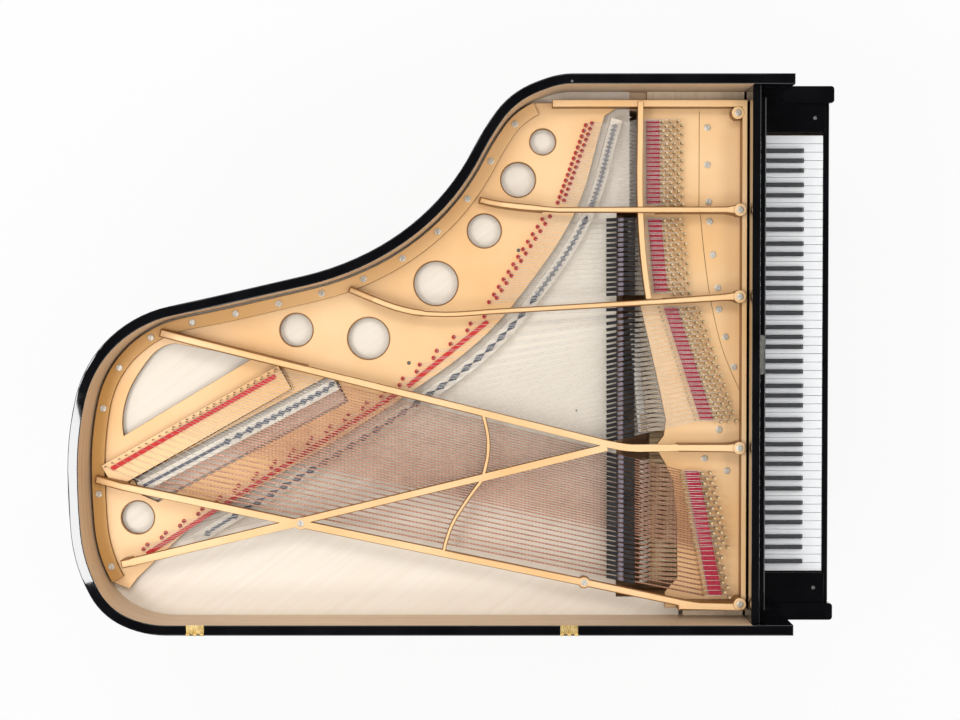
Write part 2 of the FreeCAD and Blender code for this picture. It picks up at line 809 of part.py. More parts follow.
# Feet that carry the ends of the struts down to the web
FEET = [(STRUT_A[:2], slim_foot), (straight((391, -530), (391, strut_front - 2)), slim_foot),
        (STRUT_B[:2], slim_foot), (straight((145, -550), (158, strut_front - 2)), slim_foot),
        (straight((60, 816), (-39, 416)), wide_foot),
        (straight((-252, -590), (-252, strut_front - 2)), wide_foot),
        (straight((-562, 892), (-568, 918)), wide_foot),
        (straight((-339, 993), (-358, 903)), wide_foot),
        (straight((-681, -590), (-681, strut_front - 2)), wide_foot)]
for knots, width in FEET:
    pad(plate, [ribbon(knots, width)], web_bottom, strut_top - web_bottom)
for outline in bars:
    pad(plate, [outline], strut_bottom, s.strut_depth)


def strut_mouth(x, width):
    """Outline that widens the front of a strut towards its boss."""
    front, half = strut_front + 10, s.boss_radius * 0.86
    return ring([(x - half, front), (x + half, front), (x + width / 2, front + s.strut_mouth),
                 (x - width / 2, front + s.strut_mouth)])


MOUTHS = [strut_mouth(391, slim_foot - 2), strut_mouth(157, slim_foot - 2), strut_mouth(-252, wide_foot - 2)]
pad(plate, MOUTHS, web_bottom, strut_top - web_bottom)
for knots in (CROSS_BRACE, LOWER_BRACE):
    pad(plate, [ribbon(knots, s.cross_brace_width)], strut_bottom, s.strut_depth)
CAPO_BAR = [(plate_side - 4, -487, 180), (391, -487, 182), (151, -510, 189)]
capo_bottom = plain_level + s.plain_radius + s.rest_gap
pad(plate, [ribbon(CAPO_BAR, s.slim_strut_width)], capo_bottom, s.capo_depth)
pad(plate, [circle(x, y, s.nose_radius) for x, y in NOSE_BOLTS], strut_bottom, s.strut_depth)
STRUT_BOLTS = [(391, -755), (157.3, -755), (-252, -755), (-675, -757)]
CORNER_BOLT = (653, -750)
pad(plate, [circle(x, y, s.boss_radius) for x, y in STRUT_BOLTS], web_bottom, strut_top + s.boss_rise - web_bottom)
pad(plate, [circle(*CORNER_BOLT, s.boss_radius)], web_bottom, wall_top + s.boss_rise - web_bottom)
flange_path = Path(smooth(shift(plate_knots, s.flange_width / 2)))


def flange_bolts():
    """Plan places of the bolts along the flange: thirteen close ones, then two wide apart."""
    first, step, close, wide_steps = 72, 120.5, 13, (235, 438)
    distances = [first + step * i for i in range(close)]
    distances += [distances[-1] + wide_step for wide_step in wide_steps]
    return [flange_path.at(distance / flange_path.length) for distance in distances]


# Lugs under the flange that stand on the soundboard's edge
pad(plate, [circle(spot.x, spot.y, s.bolt_radius) for spot in flange_bolts()], soundboard_top, s.plate_lift)

# Plate bolts: flange, pin block area, strut ends, and the two long nose bolts
WEB_BOLTS = [(618, -673), (517, -673), (416, -677), (363, -680), (272, -689), (182, -703), (123, -706),
             (48, -724), (-34, -747), (-205, -707), (-284, -668), (-318, -729)]


def bolt(x, y, level):
    """Round slotted bolt head."""
    head = Part.makeCylinder(s.bolt_radius, s.bolt_head * 0.6, vec(x, y, level))
    cap = Part.makeCone(s.bolt_radius, s.bolt_radius * 0.7, s.bolt_head * 0.4,
                        vec(x, y, level + s.bolt_head * 0.6))
    slot_width = s.bolt_radius * 0.25
    slot = Part.makeBox(2.4 * s.bolt_radius, slot_width, s.bolt_head * 0.4,
                        vec(x - 1.2 * s.bolt_radius, y - slot_width / 2, level + s.bolt_head * 0.6))
    return head.fuse(cap).cut(slot)


bolts = [bolt(spot.x, spot.y, flange_top) for spot in flange_bolts()]
bolts += [bolt(x, y, web_top) for x, y in WEB_BOLTS]
bolts += [bolt(x, y, strut_top + s.boss_rise) for x, y in STRUT_BOLTS]
bolts.append(bolt(*CORNER_BOLT, wall_top + s.boss_rise))
bolts += [bolt(x, y, strut_top) for x, y in NOSE_BOLTS]
bolts += [Part.makeCylinder(nose_bolt_radius, strut_bottom - soundboard_bottom + s.rib_depth,
                            vec(x, y, soundboard_bottom - s.rib_depth)) for x, y in NOSE_BOLTS]
group("plate_bolts", bolts)

# Pin block under the front of the web
pin_block = new_body("pin_block")
PIN_BLOCK_REAR = [(150, -524), (130, -512), (-170, -590), (-252, -600), (-620, -612)]
block_side = rim_inside
pad(pin_block, [ring([(-block_side, -612), (-block_side, -s.plate_front), (block_side, -s.plate_front),
                      (block_side, -510)] + PIN_BLOCK_REAR)], pin_block_bottom, s.pin_block_thick)

# Strings, pins, agraffes and felts


SMALLEST_BEND = math.radians(1)


def string(route, radius):
    """One string along its route, straight on where the route hardly bends."""
    bends = [b for a, b, c in zip(route, route[1:], route[2:]) if (b - a).getAngle(c - b) > SMALLEST_BEND]
    points = [route[0]] + bends + [route[-1]]
    section = Part.Wire(Part.makeCircle(radius, points[0], points[1] - points[0]))
    return Part.makePolygon(points).makePipeShell([section], True, False, 1)


group("plain_strings", [string(leader + route[1:], note.radius) for note in plain
                        for leader, route in zip(note.leaders(), note.speaking())])
group("wound_strings", [string(leader, note.leader) for note in bass for leader in note.leaders()]
      + [string(route, note.radius) for note in bass for route in note.speaking()])
group("tuning_pins", [Part.makeCylinder(s.tuning_pin_radius, note.level - web_top + s.tuning_pin_stand,
                                        vec(pin.x, pin.y, web_top))
                      for note in notes for pin in note.tuning_pins()])
hitch_stand = 4
hitch_past = 1.5
bass_hitch_spots = [end + note.along * (s.hitch_pin_radius + hitch_past) for note in bass for end in note.ends]
shelf_top = bass_level - s.wound_radius_low - s.hitch_felt_height


def hitch_pin(spot, base, level):
    """Upright hitch pin that stands a little above its strings."""
    return Part.makeCylinder(s.hitch_pin_radius, level - base + hitch_stand, vec(spot.x, spot.y, base))


group("hitch_pins", [hitch_pin(spot, web_top, plain_level) for spot in plain_hitch_spots]
      + [hitch_pin(spot, shelf_top, bass_level) for spot in bass_hitch_spots])
group("agraffes", [Part.makeCylinder(s.agraffe_radius, note.level - note.radius - web_top,
                                     vec(note.front.x, note.front.y, web_top))
                   for note in notes[HIGH_NOTES + TREBLE_NOTES:]])
# Raised shelf of the plate that holds the bass hitch pins
shelf_width, shelf_inset, shelf_run_out = 74, 26, 12
shelf_ends = [vec(*end) for end in BASS_HITCH]
shelf_along = (shelf_ends[1] - shelf_ends[0]).normalize() * shelf_run_out
shelf_line = shift(straight(shelf_ends[0] - shelf_along, shelf_ends[1] + shelf_along), shelf_inset)
pad(plate, [ribbon(shelf_line, shelf_width)], web_bottom, shelf_top - web_bottom)


def front_felts():
    """Felt strips under the strings between the front bearings and the tuning pins."""
    for lines, level in [(section[1], plain_level) for section in PLAIN_SECTIONS] + [(BASS_FRONT, bass_level)]:
        (x0, y0), (x1, y1) = lines
        near, far = s.felt_setback, s.felt_setback + s.felt_width
        corners = [(x0, y0 - near), (x0, y0 - far), (x1, y1 - far), (x1, y1 - near)]
        yield prism(ring(corners), web_top, level - web_top - s.string_rise + s.felt_height)


def bushings():
    """Felt washers round the hitch pins of the plain strings."""
    for spot in plain_hitch_spots:
        washer = Part.makeCylinder(s.bushing_radius, s.bushing_height, vec(spot.x, spot.y, web_top))
        yield washer.cut(Part.makeCylinder(s.hitch_pin_radius, s.bushing_height, vec(spot.x, spot.y, web_top)))


def hitch_strips():
    """Felt strips under the tails of the tenor and bass strings, in front of the hitch pins."""
    for line, base, before in ((PLAIN_SECTIONS[2][3], web_top, 16), (BASS_HITCH, shelf_top, 11)):
        for start, end in zip(line, line[1:]):
            knots = shift(straight(start, end), before)
            trim = 9
            along = heading(knots[0][2]) * trim
            ends = [(knots[0][0] + along.x, knots[0][1] + along.y), (knots[1][0] - along.x, knots[1][1] - along.y)]
            yield prism(ribbon(straight(*ends), s.hitch_felt_width), base, s.hitch_felt_height)


group("string_felts", list(front_felts()) + list(bushings()) + list(hitch_strips()))

# Keybed with the hangers and the pin of the trap levers
lever_top = rim_bottom - s.lever_drop
lever_bottom = lever_top - s.lever_depth
lever_pivot_z = lever_top - s.lever_depth / 2
hanger = 8
hanger_xs = [s.pedal_spacing * k for k in (-1.5, -0.5, 0.5, 1.5)]
keybed_front = s.key_front + s.slip_gap
keybed_back = -keybed_front + s.keybed_depth
keybed = new_body("keybed")
pad(keybed, [rectangle(-arm_inside, arm_inside, -keybed_front, keybed_back)], rim_bottom, s.keybed_thick)
# The keybed's back reaches to the belly rail
keybed_side = inner_rim_inside - 1
back_edge = [(x, y - s.rest_gap) for x, y in belly_line(keybed_side, s.belly_recess)]
pad(keybed, [ring(back_edge + [(-keybed_side, keybed_back - 1), (keybed_side, keybed_back - 1)])], rim_bottom,
    s.keybed_thick)
pad(keybed, [rectangle(x - hanger / 2, x + hanger / 2, -s.lever_pivot_line - 14, -s.lever_pivot_line + 14)
             for x in hanger_xs], lever_bottom, rim_bottom - lever_bottom)
pad(keybed, [circle(-s.lever_pivot_line, lever_pivot_z, s.pedal_pin_radius)], 0,
    3 * s.pedal_spacing + hanger, role="YZ_Plane", middle=True)
block("key_slip", -arm_inside, arm_inside, -keybed_front - s.slip_thick, -keybed_front, rim_bottom,
      keybed_top + s.slip_rise)

# Key blocks with their small knobs
key_blocks = new_body("key_blocks", several=True)
block_back = -keybed_front + s.block_length
treble_block = half_keyboard + s.block_gap_treble
bass_block = -half_keyboard - s.block_gap_bass
pad(key_blocks, [rectangle(treble_block, arm_inside, -keybed_front, block_back),
                 rectangle(-arm_inside, bass_block, -keybed_front, block_back)], keybed_top, s.block_rise)
knob_line = -keybed_front + 30
pad(key_blocks, [circle((treble_block + arm_inside) / 2, knob_line, s.knob_radius),
                 circle((bass_block - arm_inside) / 2, knob_line, s.knob_radius)],
    keybed_top + s.block_rise, 4)

# Stretcher across the front of the plate
stretcher_back = -s.plate_front - s.stretcher_gap
stretcher_front = stretcher_back - s.stretcher_thick
stretcher_bottom = keybed_top + s.stretcher_base
stretcher = new_body("stretcher")
pad(stretcher, [rectangle(-rim_inside, rim_inside, stretcher_front, stretcher_back)], stretcher_bottom,
    s.stretcher_height)
pad(stretcher, [rectangle(-rim_inside, rim_inside, stretcher_front - s.stretcher_lip, stretcher_front + 1)],
    stretcher_bottom + s.stretcher_height - s.stretcher_lip_height, s.stretcher_lip_height)

# Fallboard, built upright at its pins and leaned back
board_face = s.fallboard_thick * 0.6
board_half = arm_inside - s.fallboard_side_gap
board_foot = 8


def lean_back(body):
    """Put a body at the fallboard's pins, turned by its lean."""
    place(body, 0, -s.fallboard_line, fallboard_axis_z)
    body.Placement.Rotation = FreeCAD.Rotation(vec(1, 0, 0), -s.fallboard_lean)
    body.setExpression("Placement.Rotation.Angle", text_of(s.fallboard_lean))
    body.setExpression("Placement.Rotation.Axis.x", "-1")


fallboard = new_body("fallboard")
pad(fallboard, [rectangle(-board_half, board_half, -board_face, s.fallboard_thick - board_face)],
    -1 * Size(board_foot), s.fallboard_height)
pad(fallboard, [circle(0, 0, s.fallboard_pin_radius)], 0, 2 * (arm_inside + s.fallboard_pin_depth),
    role="YZ_Plane", middle=True)
board_top = s.fallboard_height - board_foot
soften(fallboard, s.rim_round, at_level(board_top))
lean_back(fallboard)
lock = new_body("fallboard_lock")
lock_middle = s.fallboard_thick / 2 - board_face
pad(lock, [round_rectangle(-s.lock_length / 2, s.lock_length / 2, lock_middle - s.lock_width / 2,
                           lock_middle + s.lock_width / 2, s.lock_width * 0.45)], board_top, s.lock_thick)
lean_back(lock)

# Lid hinge halves let into the rim on the bass side
hinge_axis_x = -s.half_width + s.hinge_barrel
hinge_axis_z = rim_top + s.hinge_barrel - s.hinge_leaf / 2
knuckle = s.hinge_length / 5
hinges = []
for y in HINGE_LINES:
    leaf = Part.makeBox(s.rim_wall - s.hinge_barrel, s.hinge_length, s.hinge_leaf,
                        vec(hinge_axis_x, y - s.hinge_length / 2, rim_top - s.hinge_leaf))
    pieces = []
    for k in (0, 2, 4):
        start = vec(hinge_axis_x, y - s.hinge_length / 2 + k * knuckle, hinge_axis_z)
        pieces.append(Part.makeCylinder(s.hinge_barrel, knuckle, start, vec(0, 1, 0)))
    half = leaf.multiFuse(pieces)
    hinges.append(half.cut(Part.makeCylinder(s.hinge_bore, s.hinge_length,
                                             vec(hinge_axis_x, y - s.hinge_length / 2, hinge_axis_z),
                                             vec(0, 1, 0))))
group("lid_hinges", hinges)

# Legs with their casters
LEGS = {"bass": (-s.front_leg_x, -s.front_leg_y), "treble": (s.front_leg_x, -s.front_leg_y),
        "tail": (-s.tail_leg_x, s.tail_leg_y)}


def leg(label, x, y):
    """Tapered leg with a top plate and a bore for its caster's stem."""
    body = new_body(label)
    sections = []
    for size, level in ((s.leg_foot, 0), (s.leg_head, s.leg_height - s.leg_plate_thick)):
        sections.append(sketch_on(body, [rectangle(-size / 2, size / 2, -size / 2, size / 2)], level, "XY_Plane"))
    loft = body.newObject("PartDesign::AdditiveLoft", "taper")
    loft.Profile = sections[0]
    loft.Sections = sections[1:]
    loft.Ruled = True
    half = s.leg_plate / 2
    pad(body, [rectangle(-half, half, -half, half)], s.leg_height - s.leg_plate_thick, s.leg_plate_thick)
    pocket(body, [circle(0, 0, s.stem_radius + s.running_gap)], 0, s.stem_length + 1, role="XY_Plane",
           middle=False, upwards=True)
    place(body, x, y, s.caster_height)


def caster(name, x, y):
    """Swivelling fork with its stem and axle, and the wheel between its cheeks."""
    fork = new_body(f"caster_fork_{name}")
    disc_top = s.caster_height - s.rest_gap
    disc_bottom = disc_top - s.fork_disc_thick
    inner = s.wheel_width / 2 + s.wheel_gap
    outer = inner + s.fork_cheek
    cheek_back = s.fork_trail + 12
    pad(fork, [circle(0, 0, s.fork_disc_radius)], disc_bottom, s.fork_disc_thick)
    pad(fork, [circle(0, 0, s.stem_radius)], disc_top, s.stem_length)
    pad(fork, [rectangle(-outer, -inner, -10, cheek_back), rectangle(inner, outer, -10, cheek_back)],
        s.wheel_radius - 10, disc_bottom - s.wheel_radius + 10)
    pad(fork, [circle(s.fork_trail, s.wheel_radius, s.axle_radius)], 0, 2 * outer, role="YZ_Plane", middle=True)
    place(fork, x, y, 0)
    wheel = new_body(f"caster_wheel_{name}")
    pad(wheel, [circle(s.fork_trail, s.wheel_radius, s.wheel_radius),
                circle(s.fork_trail, s.wheel_radius, s.axle_radius + s.running_gap)], 0, s.wheel_width,
        role="YZ_Plane", middle=True)
    place(wheel, x, y, 0)


for name, (x, y) in LEGS.items():
    leg(f"leg_{name}", x, y)
    caster(name, x, y)

# Pedal lyre: box, posts, head block and the pin that the pedals turn on
PEDALS = {"left": -1, "middle": 0, "right": 1}
rod_spots = [(side * s.pedal_spacing, -s.rod_line) for side in PEDALS.values()]
rod_hole = s.rod_radius + s.rod_guide_gap
lyre_half = s.lyre_width / 2
box_top = s.lyre_base + s.lyre_box_height
head_bottom = rim_bottom - s.lyre_head_height
lyre = new_body("pedal_lyre")
pad(lyre, [rectangle(-lyre_half, lyre_half, -s.lyre_front, -s.lyre_back)], s.lyre_base, s.lyre_wall)
pad(lyre, [rectangle(-lyre_half, -lyre_half + s.lyre_wall, -s.lyre_front, -s.lyre_back),
           rectangle(lyre_half - s.lyre_wall, lyre_half, -s.lyre_front, -s.lyre_back)],
    s.lyre_base, s.lyre_box_height)
pad(lyre, [rectangle(-lyre_half, lyre_half, -s.lyre_back - s.lyre_wall, -s.lyre_back)], s.lyre_base,
    s.lyre_box_height)
pad(lyre, [rectangle(-lyre_half, lyre_half, -s.lyre_front, -s.lyre_back)]
    + [circle(x, y, rod_hole) for x, y in rod_spots], box_top - s.lyre_wall, s.lyre_wall)
post_y = -(s.lyre_front + s.lyre_back) / 2
posts = []
for side in (-1, 1):
    x = side * s.lyre_post_spacing / 2
    posts.append(rectangle(x - s.lyre_post / 2, x + s.lyre_post / 2, post_y - s.lyre_post / 2,
                           post_y + s.lyre_post / 2))
pad(lyre, posts, box_top, head_bottom - box_top)
pad(lyre, [rectangle(-lyre_half, lyre_half, -s.lyre_front, -s.lyre_back)]
    + [circle(x, y, rod_hole) for x, y in rod_spots], head_bottom, s.lyre_head_height)
pocket(lyre, [rectangle(-s.lyre_post_spacing / 2 + s.lyre_post / 2, s.lyre_post_spacing / 2 - s.lyre_post / 2,
                        -s.lever_front - 10, -s.lyre_back)], lever_bottom - 4, rim_bottom - lever_bottom + 4,
       role="XY_Plane", middle=False, upwards=True)
pad(lyre, [circle(-s.pedal_pivot_line, s.pedal_level, s.pedal_pin_radius)], 0, s.lyre_width - s.lyre_wall,
    role="YZ_Plane", middle=True)


def pedal(label, side):
    """Pedal with a rounded pad in front and a bored arm inside the box."""
    body = new_body(label)
    pad_half, arm_half = s.pedal_pad_width / 2, s.pedal_arm_width / 2
    front, neck = -s.pedal_tip, -s.pedal_tip + 70
    right = [(0, front, 0), (pad_half, front + pad_half, 90), (arm_half, neck, 100)]
    left = [(-x, y, 180 - a) for x, y, a in right]
    outline = smooth(right) + smooth(left)
    outline += run([right[-1], (arm_half, -s.pedal_rear_line), (-arm_half, -s.pedal_rear_line), left[-1]])
    pad(body, [outline], s.pedal_level - s.pedal_thick / 2, s.pedal_thick)
    pocket(body, [circle(-s.pedal_pivot_line, s.pedal_level, s.pedal_pin_radius + s.running_gap)], 0,
           2 * s.pedal_arm_width)
    soften(body, s.pedal_thick / 4, lambda edge: at_level(s.pedal_level + s.pedal_thick / 2)(edge)
           and edge.CenterOfMass.y < neck)
    place(body, side * s.pedal_spacing, 0, 0)


def trap_lever(label, side):
    """Lever under the keybed, hung on the pin at its back and lifted at its front by the rod."""
    body = new_body(label)
    half = s.lever_width / 2
    pad(body, [rectangle(-half, half, -s.lever_front, -s.lever_pivot_line + 12)], lever_bottom, s.lever_depth)
    pocket(body, [circle(-s.lever_pivot_line, lever_pivot_z, s.pedal_pin_radius + s.running_gap)], 0,
           2 * s.lever_width)
    place(body, side * s.pedal_spacing, 0, 0)


def pedal_rod(label, side):
    """Upright rod with a rounded foot, between a pedal's back end and its trap lever."""
    body = new_body(label)
    foot = s.pedal_level + s.pedal_thick / 2 + s.rest_gap
    pad(body, [circle(0, 0, s.rod_radius)], foot, lever_bottom - s.rest_gap - foot)
    soften(body, s.rod_foot_round, at_level(foot))
    place(body, side * s.pedal_spacing, -s.rod_line, 0)


for name, side in PEDALS.items():
    pedal(f"pedal_{name}", side)
    pedal_rod(f"pedal_rod_{name}", side)
    trap_lever(f"trap_lever_{name}", side)

# Slanting stays from the back of the pedal box up to the keybed
stays = []
for side in (-1, 1):
    foot = vec(side * (lyre_half - 20), -s.lyre_back, s.lyre_base + s.lyre_box_height / 2)
    head = vec(side * (lyre_half - 20), -s.lyre_back + 240, rim_bottom)
    along = (head - foot).normalize()
    stay = Part.makeCylinder(s.lyre_brace_radius, (head - foot).Length + 60, foot - along * 30, along)
    room = Part.makeBox(2 * s.lyre_width, 400, rim_bottom - s.lyre_base,
                        vec(-s.lyre_width, -s.lyre_back, s.lyre_base))
    stays.append(stay.common(room))
group("lyre_braces", stays)

# Key frame: front, balance and back rails with cross pieces
frame_bottom = keybed_top + s.rest_gap
rail_top = key_bottom - s.rest_gap
front_rail_top = key_bottom - s.key_thick / 2
frame_half = half_keyboard + s.una_corda_room + s.rack_bracket
key_frame = new_body("key_frame")
pad(key_frame, [rectangle(-half_keyboard, half_keyboard, -s.key_front + 10, -s.key_front + 60)], frame_bottom,
    front_rail_top - frame_bottom)
pad(key_frame, [rectangle(x - 20, x + 20, -s.key_front + 50, -s.key_back - 20)
                for x in (-560, -280, 0, 280, 560)], frame_bottom, 12)
pad(key_frame, [rectangle(-frame_half, frame_half, -s.balance_line - 24, -s.balance_line + 24),
                rectangle(-frame_half, frame_half, -s.key_back - 40, -s.key_back)], frame_bottom, 14)
pad(key_frame, [rectangle(-half_keyboard, half_keyboard, -s.balance_line - 5, -s.balance_line + 5),
                rectangle(-half_keyboard, half_keyboard, -s.key_back - 30, -s.key_back - 6)], frame_bottom,
    rail_top - frame_bottom)
pad(key_frame, [rectangle(-frame_half, -frame_half + s.rack_bracket, -s.balance_line, -s.key_back),
                rectangle(frame_half - s.rack_bracket, frame_half, -s.balance_line, -s.key_back)],
    frame_bottom, 14)

# Action rack: two end brackets, the hammer rail and the pin that the hammers turn on
rack = new_body("action_rack")
rail_back = s.hammer_pivot_y + 10
rail_front = rail_back + s.rail_depth
pad(rack, [rectangle(-frame_half, frame_half, -rail_front, -rail_back)], hammer_pivot_z - s.rail_height,
    s.rail_height)
pad(rack, [rectangle(-frame_half, -frame_half + s.rack_bracket, -rail_front, -s.hammer_pivot_y + 8),
           rectangle(frame_half - s.rack_bracket, frame_half, -rail_front, -s.hammer_pivot_y + 8)],
    frame_bottom + 14, hammer_pivot_z + 6 - frame_bottom - 14)
pad(rack, [circle(-s.hammer_pivot_y, hammer_pivot_z, s.hammer_pin_radius)], 0, 2 * frame_half - s.rack_bracket,
    role="YZ_Plane", middle=True)

# Damper tray and sostenuto rod
tray_half = s.tray_depth / 2
block("damper_tray", Size(damper_bass_end + end_plate + 1), Size(damper_treble_end - end_plate - 1),
      -s.damper_line - tray_half, -s.damper_line + tray_half, s.tray_level - s.tray_thick, s.tray_level)
sostenuto = new_body("sostenuto_rod")
pad(sostenuto, [circle(-s.sostenuto_line, s.sostenuto_level, s.sostenuto_radius)], rod_middle,
    Size(rod_length), role="YZ_Plane", middle=True)
pad(sostenuto, [rectangle(-s.sostenuto_line - 1, -s.sostenuto_line + 1, s.sostenuto_level,
                          s.sostenuto_level + 2.5 * s.sostenuto_radius)], rod_middle,
    Size(rod_length - 2 * end_plate - 2), role="YZ_Plane", middle=True)

# Keyboard: where each key lies, from the lowest natural up


class Key:
    """One key: its note, counted from the top down, and its sideways limits."""

    def __init__(self, rank, sharp, head, tail):
        self.note, self.sharp, self.head, self.tail = NOTES - 1 - rank, sharp, head, tail

    def is_bass(self):
        return self.note >= NOTES - BASS_NOTES


def keyboard():
    """All keys from the lowest up, each with the sides of its head and of its tail."""
    left = -half_keyboard
    gap = s.key_gap / 2
    half = s.sharp_width / 2
    sharps = {}
    for i in range(NATURALS - 1):
        letter = LETTERS[i % len(LETTERS)]
        if letter in SHARP_SHIFT:
            sharps[i] = left + (i + 1) * s.natural_pitch + SHARP_SHIFT[letter]
    rank = 0
    for i in range(NATURALS):
        head = (left + i * s.natural_pitch + gap, left + (i + 1) * s.natural_pitch - gap)
        low = sharps[i - 1] + half + s.key_gap if i - 1 in sharps else head[0]
        high = sharps[i] - half - s.key_gap if i in sharps else head[1]
        yield Key(rank, False, head, (low, high))
        rank += 1
        if i in sharps:
            sides = (sharps[i] - half, sharps[i] + half)
            yield Key(rank, True, sides, sides)
            rank += 1


def natural_key(key):
    """Natural: a full head in front and a narrow tail between the sharps."""
    (h0, h1), (t0, t1) = key.head, key.tail
    step = -s.sharp_front - s.key_gap
    outline = [(h0, -s.key_front), (h1, -s.key_front), (h1, step), (t1, step), (t1, -s.key_back),
               (t0, -s.key_back), (t0, step), (h0, step)]
    corners = [p for p, q in zip(outline, outline[1:] + outline[:1]) if abs(p[0] - q[0]) + abs(p[1] - q[1]) > 1e-6]
    return prism(ring(corners), key_bottom, s.key_thick)


def sharp_key(key):
    """Sharp: a raised block with a sloping front on a low stick."""
    top, stick = key_top + s.sharp_rise, key_top - s.stick_drop
    profile = [(-s.sharp_front, key_bottom), (-s.sharp_front, key_top), (-s.sharp_front + s.sharp_slope, top),
               (-s.sharp_back, top), (-s.sharp_back, stick), (-s.key_back, stick), (-s.key_back, key_bottom)]
    corners = [vec(key.head[0], y, z) for y, z in profile]
    face = Part.Face(Part.makePolygon(corners + corners[:1]))
    return face.extrude(vec(s.sharp_width, 0, 0))


keys = list(keyboard())

# Hammers and dampers of each note
STRIKE_TREBLE, STRIKE_TENOR, STRIKE_BASS = -476, -505, -512


def strike_line(order):
    """How far back a note's hammer strikes."""
    if order >= NOTES - BASS_NOTES:
        return STRIKE_BASS
    tenor = (order - HIGH_NOTES - TREBLE_NOTES) / (TENOR_NOTES - 1)
    return STRIKE_TREBLE + max(0, tenor) * (STRIKE_TENOR - STRIKE_TREBLE)


def hammer(order):
    """Hammer drawn at its string, then let down by the blow."""
    note = notes[order]
    reach = strike_line(order) + s.hammer_pivot_y
    top = note.level - note.radius - s.hammer_gap - hammer_pivot_z
    half, shank, butt, heel = s.hammer_depth / 2, s.shank_thick / 2, s.shank_thick, 2 * s.shank_thick
    left = note.x_at(strike_line(order)) - s.hammer_width / 2

    def spot(y, z):
        return vec(left, y - s.hammer_pivot_y, z + hammer_pivot_z)

    points = [(-butt, -butt), (butt, -butt), (butt + shank, -shank), (reach - half, -shank), (reach - half, -heel),
              (reach + half, -heel), (reach + half, top * 0.4), (reach + half * 0.4, top - shank)]
    crown = [(reach + half * 0.4, top - shank), (reach, top), (reach - half * 0.4, top - shank)]
    back = [(reach - half * 0.4, top - shank), (reach - half, top * 0.4), (reach - half, shank),
            (butt + shank, shank), (butt, butt), (-butt, butt), (-butt, -butt)]
    edges = [Part.LineSegment(spot(*a), spot(*b)).toShape() for line in (points, back) for a, b in zip(line, line[1:])]
    edges.append(Part.Arc(*[spot(*point) for point in crown]).toShape())
    bore = Part.makeCircle(s.hammer_pin_radius + s.running_gap, spot(0, 0), vec(1, 0, 0))
    outline = Part.Face(Part.Wire(Part.__sortEdges__(edges)))
    solid = outline.cut(Part.Face(Part.Wire(bore))).Faces[0].extrude(vec(s.hammer_width, 0, 0))
    solid.rotate(vec(0, -s.hammer_pivot_y, hammer_pivot_z), vec(1, 0, 0), -s.hammer_blow)
    return solid


def damper(order):
    """Damper block along its strings, with the wire that stands on the tray."""
    note = notes[order]
    x = note.x_at(-s.damper_line)
    bottom = note.level + note.radius + s.rest_gap
    half, gap = s.damper_length / 2, s.damper_split / 2
    left = x - s.damper_width / 2
    front = Part.makeBox(s.damper_width, half - gap, s.damper_height, vec(left, -s.damper_line - half, bottom))
    back = Part.makeBox(s.damper_width, half - gap, s.damper_height, vec(left, -s.damper_line + gap, bottom))
    neck = Part.makeBox(s.damper_width, 2 * gap, s.damper_neck, vec(left, -s.damper_line - gap, bottom))
    head = front.multiFuse([back, neck])
    head.rotate(vec(x, -s.damper_line), vec(0, 0, 1), note.angle())
    aside = {1: note.radius + 2.5, 2: 0, 3: -note.gap / 2}[note.strings]
    foot = s.tray_level + s.rest_gap
    wire = Part.makeBox(s.damper_wire, s.damper_wire, bottom + 2 - foot,
                        vec(x + aside - s.damper_wire / 2, -s.damper_line - s.damper_wire / 2, foot))
    return head.fuse(wire)


for register, in_bass in (("bass", True), ("treble", False)):
    for kind, is_sharp in (("naturals", False), ("sharps", True)):
        chosen = [key for key in keys if key.is_bass() == in_bass and key.sharp == is_sharp]
        make_key = sharp_key if is_sharp else natural_key
        group(f"{kind}_{register}", [make_key(key) for key in chosen])
        group(f"hammers_{kind}_{register}", [hammer(key.note) for key in chosen])
        group(f"dampers_{kind}_{register}",
              [damper(key.note) for key in chosen if key.note >= NOTES - DAMPED_NOTES])

# Check every object, then write each sub-part
doc.recompute()
for thing in doc.Objects:
    if "Invalid" in thing.State or "Error" in thing.State:
        raise RuntimeError(f"{thing.Label} failed: {thing.State}")
for part in PARTS:
    if part.Shape.isNull() or not part.Shape.isValid() or not part.Shape.Solids:
        raise RuntimeError(f"{part.Label} has no valid solid")
os.makedirs("parts", exist_ok=True)
for part in PARTS:
    part.Shape.exportStep(f"parts/{part.Label}.step")
print(len(PARTS), "sub-parts,", sum(len(part.Shape.Solids) for part in PARTS), "solids")
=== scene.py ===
"""Looks of a grand piano with its lid and music desk off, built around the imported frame.

Lengths are in metres in the frame's own axes: keyboard towards -Y, tail towards +Y, bass towards -X
and treble towards +X. Plan places taken from the plate's drawing are written in millimetres and turned
into metres by MM.
"""
from __future__ import annotations

import json
import logging
import math
from dataclasses import dataclass, field
from enum import Enum
from typing import Callable, Iterable, Sequence

import bmesh
import bpy
from mathutils import Matrix, Vector
from mathutils.bvhtree import BVHTree
from mathutils.geometry import intersect_line_line_2d, intersect_point_line

